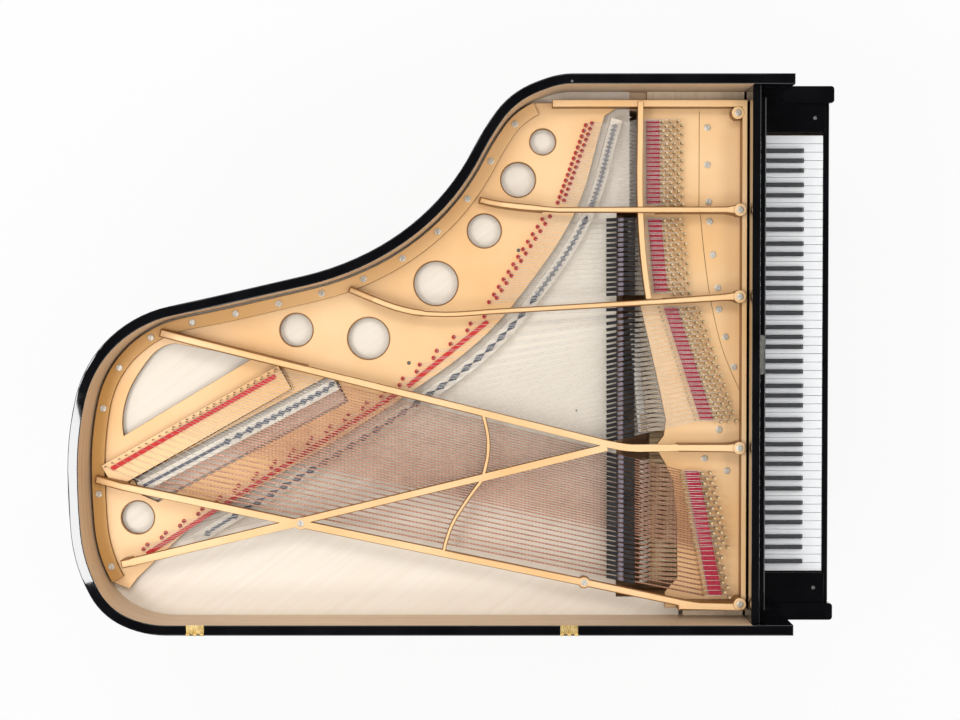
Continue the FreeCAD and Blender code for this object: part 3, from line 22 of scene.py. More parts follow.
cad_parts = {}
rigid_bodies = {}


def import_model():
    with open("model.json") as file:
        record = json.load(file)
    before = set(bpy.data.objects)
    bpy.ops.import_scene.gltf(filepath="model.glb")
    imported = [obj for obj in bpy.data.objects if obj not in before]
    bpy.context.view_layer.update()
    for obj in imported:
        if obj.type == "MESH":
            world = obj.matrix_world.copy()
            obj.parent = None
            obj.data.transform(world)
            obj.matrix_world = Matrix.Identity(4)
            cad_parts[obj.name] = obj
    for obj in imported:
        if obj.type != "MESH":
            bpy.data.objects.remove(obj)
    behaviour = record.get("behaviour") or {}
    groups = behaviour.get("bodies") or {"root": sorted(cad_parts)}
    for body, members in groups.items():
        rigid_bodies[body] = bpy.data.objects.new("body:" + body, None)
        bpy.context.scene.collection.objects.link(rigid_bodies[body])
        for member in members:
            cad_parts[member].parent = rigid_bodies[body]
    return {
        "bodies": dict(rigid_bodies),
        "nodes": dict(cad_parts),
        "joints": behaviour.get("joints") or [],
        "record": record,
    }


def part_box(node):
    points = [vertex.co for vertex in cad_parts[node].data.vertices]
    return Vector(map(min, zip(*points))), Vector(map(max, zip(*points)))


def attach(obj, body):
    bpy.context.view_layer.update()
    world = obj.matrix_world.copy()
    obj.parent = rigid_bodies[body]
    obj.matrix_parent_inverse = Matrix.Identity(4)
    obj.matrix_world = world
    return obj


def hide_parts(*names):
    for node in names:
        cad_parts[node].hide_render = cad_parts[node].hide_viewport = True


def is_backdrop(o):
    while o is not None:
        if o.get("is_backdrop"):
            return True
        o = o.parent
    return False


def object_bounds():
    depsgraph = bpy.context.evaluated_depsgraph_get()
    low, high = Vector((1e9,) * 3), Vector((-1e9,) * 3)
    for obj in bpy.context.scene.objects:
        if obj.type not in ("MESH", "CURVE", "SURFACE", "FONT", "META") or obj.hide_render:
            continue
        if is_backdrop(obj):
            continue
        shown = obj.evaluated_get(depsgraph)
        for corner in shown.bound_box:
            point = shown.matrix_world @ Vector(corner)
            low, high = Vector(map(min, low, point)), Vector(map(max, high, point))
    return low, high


log = logging.getLogger("grand_piano")
MM = 0.001
MERGE_DISTANCE = 2e-6
FLAT_ANGLE = math.radians(0.6)
SHARP_ANGLE = math.radians(38)
UP = Vector((0, 0, 1))
FACING = 0.9
LEVEL_SLACK = 1e-5
NOISE_SPAN = (0.3, 0.7)
GRAIN_TURN = math.radians(53)
Triple = tuple[float, float, float]
Colour = Triple
Range = tuple[float, float]
Spot = Range
Crossing = tuple[Vector, Vector]
Note = list[Crossing]
Node = bpy.types.Node
Socket = bpy.types.NodeSocket
Material = bpy.types.Material
Thing = bpy.types.Object
Mesh = bmesh.types.BMesh
Face = bmesh.types.BMFace
Edge = bmesh.types.BMEdge
Picker = Callable[[Face], int]


def tint(red: int, green: int, blue: int) -> Colour:
    """Colour as the shader takes it, of a display colour from 0 to 255."""
    shares = (red / 255, green / 255, blue / 255)
    return tuple(v / 12.92 if v <= 0.04045 else ((v + 0.055) / 1.055) ** 2.4 for v in shares)


def feed_input(tree: bpy.types.NodeTree, target: Socket, value: object) -> None:
    """Link a socket to an input, or set the input's own value.

    Args:
        tree: the node tree.
        target: the input.
        value: a socket or a value.
    """
    if isinstance(value, Socket):
        tree.links.new(value, target)
    else:
        target.default_value = value


def add_node(tree: bpy.types.NodeTree, kind: str, **inputs: object) -> Node:
    """Add a node to a tree and feed its inputs.

    Args:
        tree: the node tree.
        kind: the node's type.
        **inputs: sockets or values for the inputs, by name with underscores for spaces.

    Returns:
        The new node.
    """
    node = tree.nodes.new(kind)
    for name, value in inputs.items():
        feed_input(tree, node.inputs[name.replace("_", " ")], value)
    return node


def seen_rays(tree: bpy.types.NodeTree) -> Socket:
    """Tell the rays that are seen from those that only light.

    Args:
        tree: the node tree of a material or world.

    Returns:
        1 for a ray to the eye, straight, by a mirror or through glass, and 0 for the rest.
    """
    path = tree.nodes.new("ShaderNodeLightPath")
    seen = path.outputs["Is Camera Ray"]
    for name in ("Is Glossy Ray", "Is Transmission Ray"):
        both = tree.nodes.new("ShaderNodeMath")
        both.operation = "MAXIMUM"
        tree.links.new(seen, both.inputs[0])
        tree.links.new(path.outputs[name], both.inputs[1])
        seen = both.outputs[0]
    return seen


def stand(name: str, data: bpy.types.ID) -> Thing:
    """Make an object and link it to the scene.

    Args:
        name: name of the object.
        data: its mesh, curve, light or camera.

    Returns:
        The object.
    """
    thing = bpy.data.objects.new(name, data)
    bpy.context.scene.collection.objects.link(thing)
    return thing


class Register(Enum):
    """Half of the keyboard that moves as one."""

    BASS = "bass"
    TREBLE = "treble"


class KeyKind(Enum):
    """Row of keys."""

    NATURALS = "naturals"
    SHARPS = "sharps"


class Corner(Enum):
    """Where a leg stands."""

    BASS = "bass"
    TREBLE = "treble"
    TAIL = "tail"


class PedalSide(Enum):
    """Place of a pedal in the lyre."""

    LEFT = "left"
    MIDDLE = "middle"
    RIGHT = "right"


@dataclass(frozen=True)
class Speckle:
    """Noise in a finish: cells to a metre, octaves of finer noise, and how its range becomes a share."""

    scale: float
    detail: float
    source: Range = NOISE_SPAN
    target: Range = (0, 1)


@dataclass(frozen=True)
class Relief:
    """Fine relief of a surface: share of the effect and its depth in metres."""

    strength: float
    depth: float


class Graph:
    """Node tree of one material, with short calls for the nodes that the finishes share."""

    def __init__(self, name: str) -> None:
        """Start a material with its shader.

        Args:
            name: name of the material.
        """
        self.material = bpy.data.materials.new(name)
        self.material.use_nodes = True
        self.tree = self.material.node_tree
        self.shader = self.tree.nodes["Principled BSDF"]

    def add(self, kind: str, **inputs: object) -> Node:
        """Add a node and feed its inputs, by name with underscores for spaces."""
        return add_node(self.tree, kind, **inputs)

    def feed(self, node: Node, name: str | int, value: object) -> None:
        """Link a socket to an input, or set the input's own value."""
        feed_input(self.tree, node.inputs[name], value)

    def place(self, scale: Sequence[float] = (1, 1, 1), turn: float = 0.0) -> Socket:
        """Object coordinates, turned about the upright and scaled.

        Args:
            scale: factor along each axis after the turn.
            turn: angle about the upright in radians.

        Returns:
            The vector socket.
        """
        coords = self.add("ShaderNodeTexCoord")
        mapping = self.add("ShaderNodeMapping", Vector=coords.outputs["Object"])
        mapping.vector_type = "POINT"
        mapping.inputs["Rotation"].default_value = (0, 0, turn)
        stretch = self.add("ShaderNodeVectorMath")
        stretch.operation = "MULTIPLY"
        self.feed(stretch, 0, mapping.outputs["Vector"])
        self.feed(stretch, 1, tuple(scale))
        return stretch.outputs["Vector"]

    def noise(self, vector: Socket, speckle: Speckle) -> Socket:
        """Noise from 0 to 1 of a speckle at each place."""
        node = self.add("ShaderNodeTexNoise", Vector=vector, Scale=speckle.scale, Detail=speckle.detail)
        return node.outputs[0]

    def share(self, noise: Socket, speckle: Speckle, factor: float = 1.0) -> Socket:
        """Share that a speckle's noise gives, times a factor."""
        return self.span(noise, speckle.source, [level * factor for level in speckle.target])

    def span(self, value: Socket, source: Sequence[float], target: Sequence[float]
             ) -> Socket:
        """Carry a value from one range to another, clamped.

        Args:
            value: the value to carry.
            source: low and high of its range.
            target: what these become.

        Returns:
            The result's socket.
        """
        node = self.add("ShaderNodeMapRange", Value=value)
        for name, number in zip(("From Min", "From Max", "To Min", "To Max"), (*source, *target)):
            node.inputs[name].default_value = number
        return node.outputs["Result"]

    def mix(self, share: Socket, first: object, second: object) -> Socket:
        """Mix two colours.

        Args:
            share: 0 for the first and 1 for the second.
            first: a colour or its socket.
            second: a colour or its socket.

        Returns:
            The colour socket.
        """
        node = self.add("ShaderNodeMix")
        node.data_type = "RGBA"
        self.feed(node, 0, share)
        for index, value in ((6, first), (7, second)):
            self.feed(node, index, value if isinstance(value, Socket) else (*value, 1.0))
        return node.outputs[2]

    def upright_shade_share(self, flat: float = 0.985, upright: float = 0.72) -> Socket:
        """How far a face is from level, as the share of painted shade on steep faces.

        Args:
            flat: upward share of the normal from which a face is level.
            upright: upward share below which it is a wall.

        Returns:
            0 on level faces and 1 on walls.
        """
        coords = self.add("ShaderNodeTexCoord")
        parts = self.add("ShaderNodeSeparateXYZ", Vector=coords.outputs["Normal"])
        return self.span(parts.outputs["Z"], (upright, flat), (1.0, 0.0))

    def product(self, first: Socket, second: Socket) -> Socket:
        """Multiply two values.

        Args:
            first: a value.
            second: another value.

        Returns:
            The result's socket.
        """
        node = self.add("ShaderNodeMath")
        node.operation = "MULTIPLY"
        self.feed(node, 0, first)
        self.feed(node, 1, second)
        return node.outputs[0]

    def bump(self, height: Socket, relief: Relief) -> None:
        """Raise the surface a little by a height from 0 to 1."""
        node = self.add("ShaderNodeBump", Height=height, Strength=relief.strength, Distance=relief.depth)
        self.feed(self.shader, "Normal", node.outputs["Normal"])

    def set(self, **inputs: object) -> None:
        """Feed the shader's inputs, by name with underscores for spaces."""
        for name, value in inputs.items():
            value = (*value, 1.0) if isinstance(value, tuple) and len(value) == 3 else value
            self.feed(self.shader, name.replace("_", " "), value)


@dataclass(frozen=True)
class Finish:
    """A surface finish with its material's name."""

    name: str

    def make(self) -> Material:
        """Build the material."""
        graph = Graph(self.name)
        self.paint(graph)
        return graph.material

    def paint(self, graph: Graph) -> None:
        """Fill the material's graph.

        Args:
            graph: the graph, with its shader.
        """
        raise NotImplementedError


@dataclass(frozen=True)
class Lacquer(Finish):
    """Polished black lacquer with a faint ripple and faint haze."""

    deep: Colour = tint(7, 7, 9)
    worn: Colour = tint(22, 22, 26)
    gloss: Range = (0.015, 0.04)
    haze: Speckle = Speckle(9, 4, (0.35, 0.8), (0, 0.6))
    polish: Speckle = Speckle(26, 5)
    ripple: Speckle = Speckle(30, 1)
    coat: float = 0.6
    coat_roughness: float = 0.01
    relief: Relief = Relief(0.02, 0.0003)

    def paint(self, graph: Graph) -> None:
        """Fill the material's graph.

        Args:
            graph: the graph, with its shader.
        """
        place = graph.place()
        haze = graph.share(graph.noise(place, self.haze), self.haze)
        graph.set(Base_Color=graph.mix(haze, self.deep, self.worn),
                  Roughness=graph.span(graph.noise(place, self.polish), NOISE_SPAN, self.gloss),
                  Coat_Weight=self.coat, Coat_Roughness=self.coat_roughness)
        graph.bump(graph.noise(place, self.ripple), self.relief)


@dataclass(frozen=True)
class Wood(Finish):
    """Satin wood whose grain runs one way, with bands, streaks and pores."""

    light: Colour
    dark: Colour
    turn: float = 0.0
    stretch: Triple = (2.0, 40.0, 40.0)
    contrast: float = 0.7
    gloss: Range = (0.38, 0.55)
    bands: Speckle = Speckle(1.0, 2)
    streaks: Speckle = Speckle(4.5, 5, (0.42, 0.75), (0, 0.8))
    pores: Speckle = Speckle(16.0, 2, (0.62, 0.75), (0, 0.5))
    pore_tone: float = 0.7
    coat: float = 0.15
    coat_roughness: float = 0.25
    relief: Relief = Relief(0.12, 0.0002)

    def paint(self, graph: Graph) -> None:
        """Fill the material's graph.

        Args:
            graph: the graph, with its shader.
        """
        along = graph.place(self.stretch, self.turn)
        bands, streaks, pores = (graph.noise(along, part) for part in (self.bands, self.streaks, self.pores))
        tone = graph.mix(graph.share(bands, self.bands, self.contrast), self.light, self.dark)
        tone = graph.mix(graph.share(streaks, self.streaks, self.contrast), tone, self.dark)
        deep = tuple(channel * self.pore_tone for channel in self.dark)
        graph.set(Base_Color=graph.mix(graph.share(pores, self.pores, self.contrast), tone, deep),
                  Roughness=graph.span(streaks, NOISE_SPAN, self.gloss), Coat_Weight=self.coat,
                  Coat_Roughness=self.coat_roughness)
        graph.bump(pores, self.relief)


@dataclass(frozen=True)
class BronzePaint(Finish):
    """Bronze paint on a casting: fine flakes, soft clouds, a deeper flange and brown painted shade on its
    walls.
    """

    light: Colour = tint(247, 207, 156)
    cloud: Colour = tint(238, 188, 128)
    # wall: brown painted shade for upright and steep faces, standing in for the shade on the sides of struts
    # and holes
    wall: Colour = tint(132, 86, 32)
    flange: Colour = tint(196, 144, 70)
    flange_levels: Range = (0.864, 0.875)
    flange_reach: Range = (0.1, 0.8)
    flange_share: Range = (0.2, 0.85)
    clouds: Speckle = Speckle(3.2, 3, (0.35, 0.68))
    flakes: Speckle = Speckle(1400, 1, (0.6, 0.8), (0, 0.5))
    grit: Speckle = Speckle(420, 2)
    sparkle: float = 1.18
    metal: float = 0.08
    gloss: Range = (0.34, 0.46)
    relief: Relief = Relief(0.12, 0.0003)

    def paint(self, graph: Graph) -> None:
        """Fill the material's graph.

        Args:
            graph: the graph, with its shader.
        """
        place = graph.place()
        flakes = graph.noise(place, self.flakes)
        clouds = graph.share(graph.noise(place, self.clouds), self.clouds)
        bright = tuple(min(1.0, channel * self.sparkle) for channel in self.light)
        cover = graph.mix(graph.share(flakes, self.flakes), graph.mix(clouds, self.light, self.cloud), bright)
        axes = graph.add("ShaderNodeSeparateXYZ", Vector=place).outputs
        low, high = self.flange_levels
        band = graph.product(graph.span(axes["Z"], (low, low + MM), (0.0, 1.0)),
                             graph.span(axes["Z"], (high - MM, high), (1.0, 0.0)))
        shade = graph.product(band, graph.span(axes["Y"], self.flange_reach, self.flange_share))
        cast = graph.mix(shade, cover, self.flange)
        # painted shade: faces turn to the wall brown as they leave level, by their normal
        graph.set(Base_Color=graph.mix(graph.upright_shade_share(), cast, self.wall), Metallic=self.metal,
                  Roughness=graph.span(flakes, NOISE_SPAN, self.gloss))
        graph.bump(graph.noise(place, self.grit), self.relief)


@dataclass(frozen=True)
class Metal(Finish):
    """Bare metal with fine brushing and a trace of tarnish."""

    bright: Colour
    dull: Colour
    gloss: Range = (0.18, 0.34)
    metal: float = 1.0
    brushing: Triple = (120.0, 900.0, 900.0)
    lines: Speckle = Speckle(1.0, 2)
    tarnish: Speckle = Speckle(60, 4, (0.4, 0.75))
    relief: Relief = Relief(0.06, 0.0001)

    def paint(self, graph: Graph) -> None:
        """Fill the material's graph.

        Args:
            graph: the graph, with its shader.
        """
        lines = graph.noise(graph.place(self.brushing), self.lines)
        tarnish = graph.share(graph.noise(graph.place(), self.tarnish), self.tarnish)
        graph.set(Base_Color=graph.mix(tarnish, self.bright, self.dull), Metallic=self.metal,
                  Roughness=graph.span(lines, NOISE_SPAN, self.gloss))
        graph.bump(lines, self.relief)


@dataclass(frozen=True)
class Winding(Finish):
    """Copper wire wound round a string, turn by turn, with painted shadow in the grooves between the turns.
    """

    bright: Colour = tint(222, 172, 146)
    dark_copper_and_groove_shadow: Colour = tint(168, 116, 92)
    wave_scale: float = 32.0
    # painted shadow: levels of the wave at which the copper darkens in the grooves between the turns
    groove_shadow_levels: Range = (0.0, 0.45)
    groove_shadow_share: Range = (0.7, 0)
    tone: Speckle = Speckle(30, 3, (0.35, 0.7), (0, 0.5))
    metal: float = 0.4
    gloss: Range = (0.3, 0.45)
    relief: Relief = Relief(0.4, 0.0003)

    def paint(self, graph: Graph) -> None:
        """Fill the material's graph.

        Args:
            graph: the graph, with its shader.
        """
        wave = graph.add("ShaderNodeTexWave", Vector=graph.place(), Scale=self.wave_scale, Distortion=0.0)
        wave.bands_direction = "Y"
        turns = wave.outputs["Fac"]
        tone = graph.noise(graph.place(), self.tone)
        copper = graph.mix(graph.share(tone, self.tone), self.bright, self.dark_copper_and_groove_shadow)
        # painted shadow in the grooves between the turns
        shadow = graph.span(turns, self.groove_shadow_levels, self.groove_shadow_share)
        graph.set(Base_Color=graph.mix(shadow, copper, self.dark_copper_and_groove_shadow), Metallic=self.metal,
                  Roughness=graph.span(tone, NOISE_SPAN, self.gloss))
        graph.bump(turns, self.relief)


@dataclass(frozen=True)
class Felt(Finish):
    """Pressed wool cloth with crossing threads and a fibrous nap."""

    colour: Colour
    shade: Colour
    wave_scale: float = 21.0
    wave_bend: float = 2.0
    weave_levels: Range = (0, 0.5)
    weave_share: Range = (0.35, 0)
    nap: Speckle = Speckle(260, 5, (0.35, 0.7), (0, 0.8))
    gloss: Range = (0.82, 0.97)
    sheen: float = 0.35
    sheen_roughness: float = 0.5
    relief: Relief = Relief(0.5, 0.0006)

    def paint(self, graph: Graph) -> None:
        """Fill the material's graph.

        Args:
            graph: the graph, with its shader.
        """
        place = graph.place()
        warp, weft = (graph.add("ShaderNodeTexWave", Vector=place, Scale=self.wave_scale,
                                Distortion=self.wave_bend) for _ in range(2))
        weft.bands_direction = "Y"
        weave = graph.product(warp.outputs["Fac"], weft.outputs["Fac"])
        nap = graph.noise(place, self.nap)
        worn = graph.mix(graph.share(nap, self.nap), self.colour, self.shade)
        threads = graph.span(weave, self.weave_levels, self.weave_share)
        graph.set(Base_Color=graph.mix(threads, worn, self.shade),
                  Roughness=graph.span(nap, NOISE_SPAN, self.gloss), Sheen_Weight=self.sheen,
                  Sheen_Roughness=self.sheen_roughness)
        graph.bump(nap, self.relief)


@dataclass(frozen=True)
class KeyTop(Finish):
    """Moulded key covering: smooth, with a trace of handling."""

    clean: Colour
    handled: Colour
    gloss: Range = (0.14, 0.26)
    marks: Speckle = Speckle(34, 5, (0.45, 0.75), (0, 0.6))
    grain: Speckle = Speckle(600, 2)
    coat: float = 0.2
    coat_roughness: float = 0.1
    relief: Relief = Relief(0.03, 0.0001)

    def paint(self, graph: Graph) -> None:
        """Fill the material's graph.

        Args:
            graph: the graph, with its shader.
        """
        place = graph.place()
        marks = graph.noise(place, self.marks)
        graph.set(Base_Color=graph.mix(graph.share(marks, self.marks), self.clean, self.handled),
                  Roughness=graph.span(marks, NOISE_SPAN, self.gloss), Coat_Weight=self.coat,
                  Coat_Roughness=self.coat_roughness)
        graph.bump(graph.noise(place, self.grain), self.relief)


@dataclass(frozen=True)
class PaleFloor(Finish):
    """Studio floor that looks near white and keeps a soft shadow."""

    shade: Colour = (0.86, 0.86, 0.86)
    dimming: float = 0.985
    speckle: Speckle = Speckle(2.0, 2)
    roughness: float = 0.9
    lift: float = 0.86

    def paint(self, graph: Graph) -> None:
        """Fill the material's graph.

        Args:
            graph: the graph, with its shader.
        """
        near = tuple(channel * self.dimming for channel in self.shade)
        speckle = graph.noise(graph.place(), self.speckle)
        graph.set(Base_Color=graph.mix(speckle, self.shade, near), Roughness=self.roughness)
        glow = graph.add("ShaderNodeEmission", Color=(1, 1, 1, 1), Strength=1.0)
        blend = graph.add("ShaderNodeMixShader")
        graph.feed(blend, 0, graph.span(seen_rays(graph.tree), (0, 1), (0, self.lift)))
        graph.feed(blend, 1, graph.shader.outputs["BSDF"])
        graph.feed(blend, 2, glow.outputs["Emission"])
        graph.feed(graph.tree.nodes["Material Output"], "Surface", blend.outputs["Shader"])


class Palette:
    """Every finish of the piano, built once."""

    def __init__(self) -> None:
        """Build the materials."""
        self.lacquer = Lacquer("black_lacquer").make()
        self.veneer = Wood("rim_veneer", tint(222, 194, 160), tint(190, 158, 124), stretch=(2.2, 2.2, 60),
                           contrast=0.5).make()
        self.spruce = Wood("spruce", tint(238, 229, 215), tint(224, 210, 190), turn=GRAIN_TURN,
                           stretch=(1.2, 70, 70), contrast=0.35).make()
        self.beech = Wood("beech", tint(196, 158, 116), tint(150, 108, 70), stretch=(30, 2.0, 30)).make()
        self.key_wood = Wood("key_wood", tint(222, 196, 154), tint(188, 154, 108),
                             stretch=(60, 2.5, 60)).make()
        self.maple = Wood("bridge_maple", tint(226, 217, 204), tint(196, 178, 154), turn=GRAIN_TURN,
                          stretch=(2, 60, 60), contrast=0.45).make()
        self.block_wood = Wood("pin_block_wood", tint(240, 220, 192), tint(214, 186, 150),
                               stretch=(3, 60, 60), contrast=0.4).make()
        self.hammer_felt = Felt("hammer_felt", tint(238, 234, 224), tint(206, 198, 184)).make()
        self.bronze = BronzePaint("gilt_iron").make()
        # Darker bronze for the hole beads and seam ridges: a painted shade for the dark rims of the holes
        self.seam = BronzePaint("plate_seam_edge_shade", tint(170, 118, 58), tint(140, 92, 40), tint(110, 72, 32)).make()
        self.bolt = Metal("plate_bolt_steel", tint(236, 232, 222), tint(204, 192, 170), metal=0.4).make()
        self.brass = Metal("polished_brass", tint(236, 206, 138), tint(206, 168, 98), metal=0.6).make()
        self.chrome = Metal("satin_chrome", tint(176, 174, 164), tint(146, 144, 134), (0.24, 0.4),
                            metal=0.5).make()
        self.pewter = Metal("knob_pewter", tint(120, 118, 116), tint(92, 90, 88), (0.3, 0.45),
                            metal=0.5).make()
        self.steel = Metal("string_steel", tint(228, 224, 216), tint(204, 198, 188), metal=0.3).make()
        self.pin = Metal("tuning_pin_steel", tint(232, 208, 164), tint(198, 168, 118), (0.2, 0.36),
                         metal=0.2).make()
        self.hitch = Metal("hitch_pin_steel", tint(124, 84, 66), tint(94, 62, 48), metal=0.3).make()
        self.coil = Metal("coil_wire", tint(150, 130, 98), tint(112, 94, 66), metal=0.3).make()
        self.winding = Winding("copper_winding").make()
        self.graphite = Wood("bridge_graphite", tint(92, 93, 104), tint(72, 73, 84), turn=GRAIN_TURN,
                             stretch=(8, 60, 60), contrast=0.6).make()
        self.crimson = Felt("crimson_felt", tint(176, 36, 58), tint(138, 20, 40)).make()
        self.red = Felt("red_felt", tint(216, 58, 54), tint(184, 38, 40)).make()
        self.ivory = KeyTop("white_key", tint(245, 246, 247), tint(236, 237, 238)).make()
        self.ebony = KeyTop("black_key", tint(52, 52, 56), tint(66, 66, 70), (0.34, 0.48)).make()
        self.damper = KeyTop("damper_black", tint(30, 27, 28), tint(46, 41, 42), (0.3, 0.45)).make()
        self.damper_neck = Felt("damper_neck_felt", tint(150, 140, 150), tint(112, 102, 112)).make()
        self.apron = Wood("apron_wood", tint(226, 208, 192), tint(204, 182, 164), turn=GRAIN_TURN,
                          stretch=(2, 60, 60), contrast=0.5).make()
        self.floor = PaleFloor("pale_floor").make()


class Workshop:
    """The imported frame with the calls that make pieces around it."""

    def __init__(self) -> None:
        """Load the frame and keep its box."""
        self.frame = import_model()
        self.cad_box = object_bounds()
        self.palette = Palette()

    def shell(self, node: str) -> Mesh:
        """Closed copy of a node's mesh with its flat faces made whole.

        Args:
            node: name of the CAD node.

        Returns:
            The copy, to be freed by piece().
        """
        mesh = bmesh.new()
        mesh.from_mesh(self.frame["nodes"][node].data)
        bmesh.ops.remove_doubles(mesh, verts=mesh.verts, dist=MERGE_DISTANCE)
        bmesh.ops.dissolve_limit(mesh, angle_limit=FLAT_ANGLE, use_dissolve_boundaries=False,
                                 verts=mesh.verts, edges=mesh.edges, delimit=set())
        return mesh

    def cut(self, mesh: Mesh, spot: Sequence[float], way: Sequence[float]) -> None:
        """Cut faces along a plane by a point and a normal, so that each side can have its own finish."""
        everything = [*mesh.verts, *mesh.edges, *mesh.faces]
        bmesh.ops.bisect_plane(mesh, geom=everything, plane_co=spot, plane_no=way)

    def piece(self, name: str, mesh: Mesh, materials: Sequence[Material],
              picker: Picker | None = None) -> Thing:
        """Make an object of a mesh.

        Args:
            name: name of the piece.
            mesh: its mesh, which is freed.
            materials: its materials.
            picker: gives the index of a face's material, or None for the first.

        Returns:
            The new object, which rides on nothing yet.
        """
        data = bpy.data.meshes.new(name)
        if picker is not None:
            for face in mesh.faces:
                face.material_index = picker(face)
        mesh.to_mesh(data)
        mesh.free()
        if "custom_normal" in data.attributes:
            data.attributes.remove(data.attributes["custom_normal"])
        for material in materials:
            data.materials.append(material)
        return stand(name, data)

    def settle(self, thing: Thing) -> Thing:
        """Turn an object's modifiers into plain mesh.

        Args:
            thing: the object.

        Returns:
            The same object.
        """
        depsgraph = bpy.context.evaluated_depsgraph_get()
        mesh = bpy.data.meshes.new_from_object(thing.evaluated_get(depsgraph), preserve_all_data_layers=True,
                                               depsgraph=depsgraph)
        thing.modifiers.clear()
        thing.data = mesh
        return thing

    def soften(self, thing: Thing, width: float, segments: int = 2, weighed: bool = False
               ) -> Thing:
        """Round the sharp edges of an object.

        Args:
            thing: the object.
            width: width of the rounding in metres.
            segments: facets across the rounding.
            weighed: whether the mesh's own edge weights choose the edges.

        Returns:
            The same object with a plain mesh.
        """
        bevel = thing.modifiers.new("round", "BEVEL")
        bevel.width = width
        bevel.segments = segments
        bevel.limit_method = "WEIGHT" if weighed else "ANGLE"
        bevel.angle_limit = SHARP_ANGLE
        bevel.use_clamp_overlap = not weighed
        self.settle(thing)
        thing.data.shade_smooth()
        thing.data.set_sharp_from_angle(angle=SHARP_ANGLE)
        weigh = thing.modifiers.new("flats", "WEIGHTED_NORMAL")
        weigh.keep_sharp = True
        return self.settle(thing)

    def keep(self, thing: Thing, body: str, slot: str, *nodes: str) -> Thing:
        """Let a piece ride on a body and stand for nodes.

        Args:
            thing: the piece.
            body: the body that it moves with.
            slot: the record's material slot; not used.
            *nodes: the CAD nodes that it stands for.

        Returns:
            The same piece.
        """
        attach(thing, body)
        if nodes:
            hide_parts(*nodes)
        log.info("%s rides on %s", thing.name, body)
        return thing

    def paint(self, node: str, material: Material) -> None:
        """Give a CAD node that keeps its shape a finish.

        Args:
            node: the CAD node.
            material: its finish.
        """
        data = self.frame["nodes"][node].data
        data.materials.clear()
        data.materials.append(material)
        data.shade_smooth()
        log.info("%s keeps its shape", node)

    def dress(self, node: str, body: str, slot: str, materials: Sequence[Material], width: float,
              picker: Picker | None = None, segments: int = 2) -> Thing:
        """Replace a node by a copy of it with rounded edges.

        Args:
            node: the CAD node.
            body: the body that it rides on.
            slot: the record's material slot.
            materials: its materials.
            width: width of the rounding in metres.
            picker: gives the index of a face's material.
            segments: facets across the rounding.

        Returns:
            The piece.
        """
        thing = self.piece(f"{node}_dressed", self.shell(node), materials, picker)
        self.soften(thing, width, segments)
        return self.keep(thing, body, slot, node)

    def islands(self, node: str) -> list[list[Vector]]:
        """Take a node's mesh apart.

        Args:
            node: the CAD node.

        Returns:
            The points of each separate solid.
        """
        mesh = bmesh.new()
        mesh.from_mesh(self.frame["nodes"][node].data)
        bmesh.ops.remove_doubles(mesh, verts=mesh.verts, dist=MERGE_DISTANCE)
        found, seen = [], set()
        for start in mesh.verts:
            if start in seen:
                continue
            stack, points = [start], []
            seen.add(start)
            while stack:
                vertex = stack.pop()
                points.append(vertex.co.copy())
                for edge in vertex.link_edges:
                    other = edge.other_vert(vertex)
                    if other not in seen:
                        seen.add(other)
                        stack.append(other)
            found.append(points)
        mesh.free()
        return found


class Repeat:
    """Geometry Nodes tree that puts one small shape on every point of a mesh."""

    def __init__(self, shop: Workshop, name: str) -> None:
        """Start a tree with a points input and a geometry output.

        Args:
            shop: the workshop.
            name: name of the tree.
        """
        self.shop = shop
        self.tree = bpy.data.node_groups.new(name, "GeometryNodeTree")
        self.tree.interface.new_socket("Points", in_out="INPUT", socket_type="NodeSocketGeometry")
        self.tree.interface.new_socket("Geometry", in_out="OUTPUT", socket_type="NodeSocketGeometry")
        self.source = self.tree.nodes.new("NodeGroupInput")
        self.sink = self.tree.nodes.new("NodeGroupOutput")
        self.values: dict[str, float | int] = {}

    def size(self, name: str, value: float | int) -> Socket:
        """Add a named size.

        Args:
            name: name of the input.
            value: its value.

        Returns:
            The socket inside the tree.
        """
        kind = "NodeSocketInt" if isinstance(value, int) else "NodeSocketFloat"
        socket = self.tree.interface.new_socket(name, in_out="INPUT", socket_type=kind)
        self.values[socket.identifier] = value
        return self.source.outputs[name]

    def add(self, kind: str, **inputs: object) -> Node:
        """Add a node and feed its inputs, by name with underscores for spaces."""
        return add_node(self.tree, kind, **inputs)

    def tube(self, path: Socket, radius: Socket, sides: int) -> Socket:
        """Sweep a round section along a curve.

        Args:
            path: the curve.
            radius: radius of the section.
            sides: corners of the section.

        Returns:
            The mesh socket.
        """
        section = self.add("GeometryNodeCurvePrimitiveCircle", Resolution=sides, Radius=radius)
        sweep = self.add("GeometryNodeCurveToMesh", Curve=path, Profile_Curve=section.outputs["Curve"],
                         Fill_Caps=True)
        return sweep.outputs["Mesh"]

    def put(self, name: str, shape: Socket, points: Sequence[Vector],
            material: Material) -> Thing:
        """Close the tree and make the piece.

        Args:
            name: name of the piece.
            shape: the shape to repeat.
            points: where it stands.
            material: its finish.

        Returns:
            The piece with a plain mesh.
        """
        spread = self.add("GeometryNodeInstanceOnPoints", Points=self.source.outputs["Points"],
                          Instance=shape)
        real = self.add("GeometryNodeRealizeInstances", Geometry=spread.outputs["Instances"])
        smooth = self.add("GeometryNodeSetShadeSmooth", Geometry=real.outputs["Geometry"])
        painted = self.add("GeometryNodeSetMaterial", Geometry=smooth.outputs["Geometry"], Material=material)
        self.tree.links.new(painted.outputs["Geometry"], self.sink.inputs["Geometry"])
        data = bpy.data.meshes.new(name)
        data.from_pydata([tuple(point) for point in points], [], [])
        thing = stand(name, data)
        modifier = thing.modifiers.new(name, "NODES")
        modifier.node_group = self.tree
        for identifier, value in self.values.items():
            modifier[identifier] = value
        return self.shop.settle(thing)


def middle_of(points: Iterable[Vector]) -> Vector:
    """Middle of the box round some points."""
    columns = list(zip(*points))
    return Vector([(min(column) + max(column)) / 2 for column in columns])


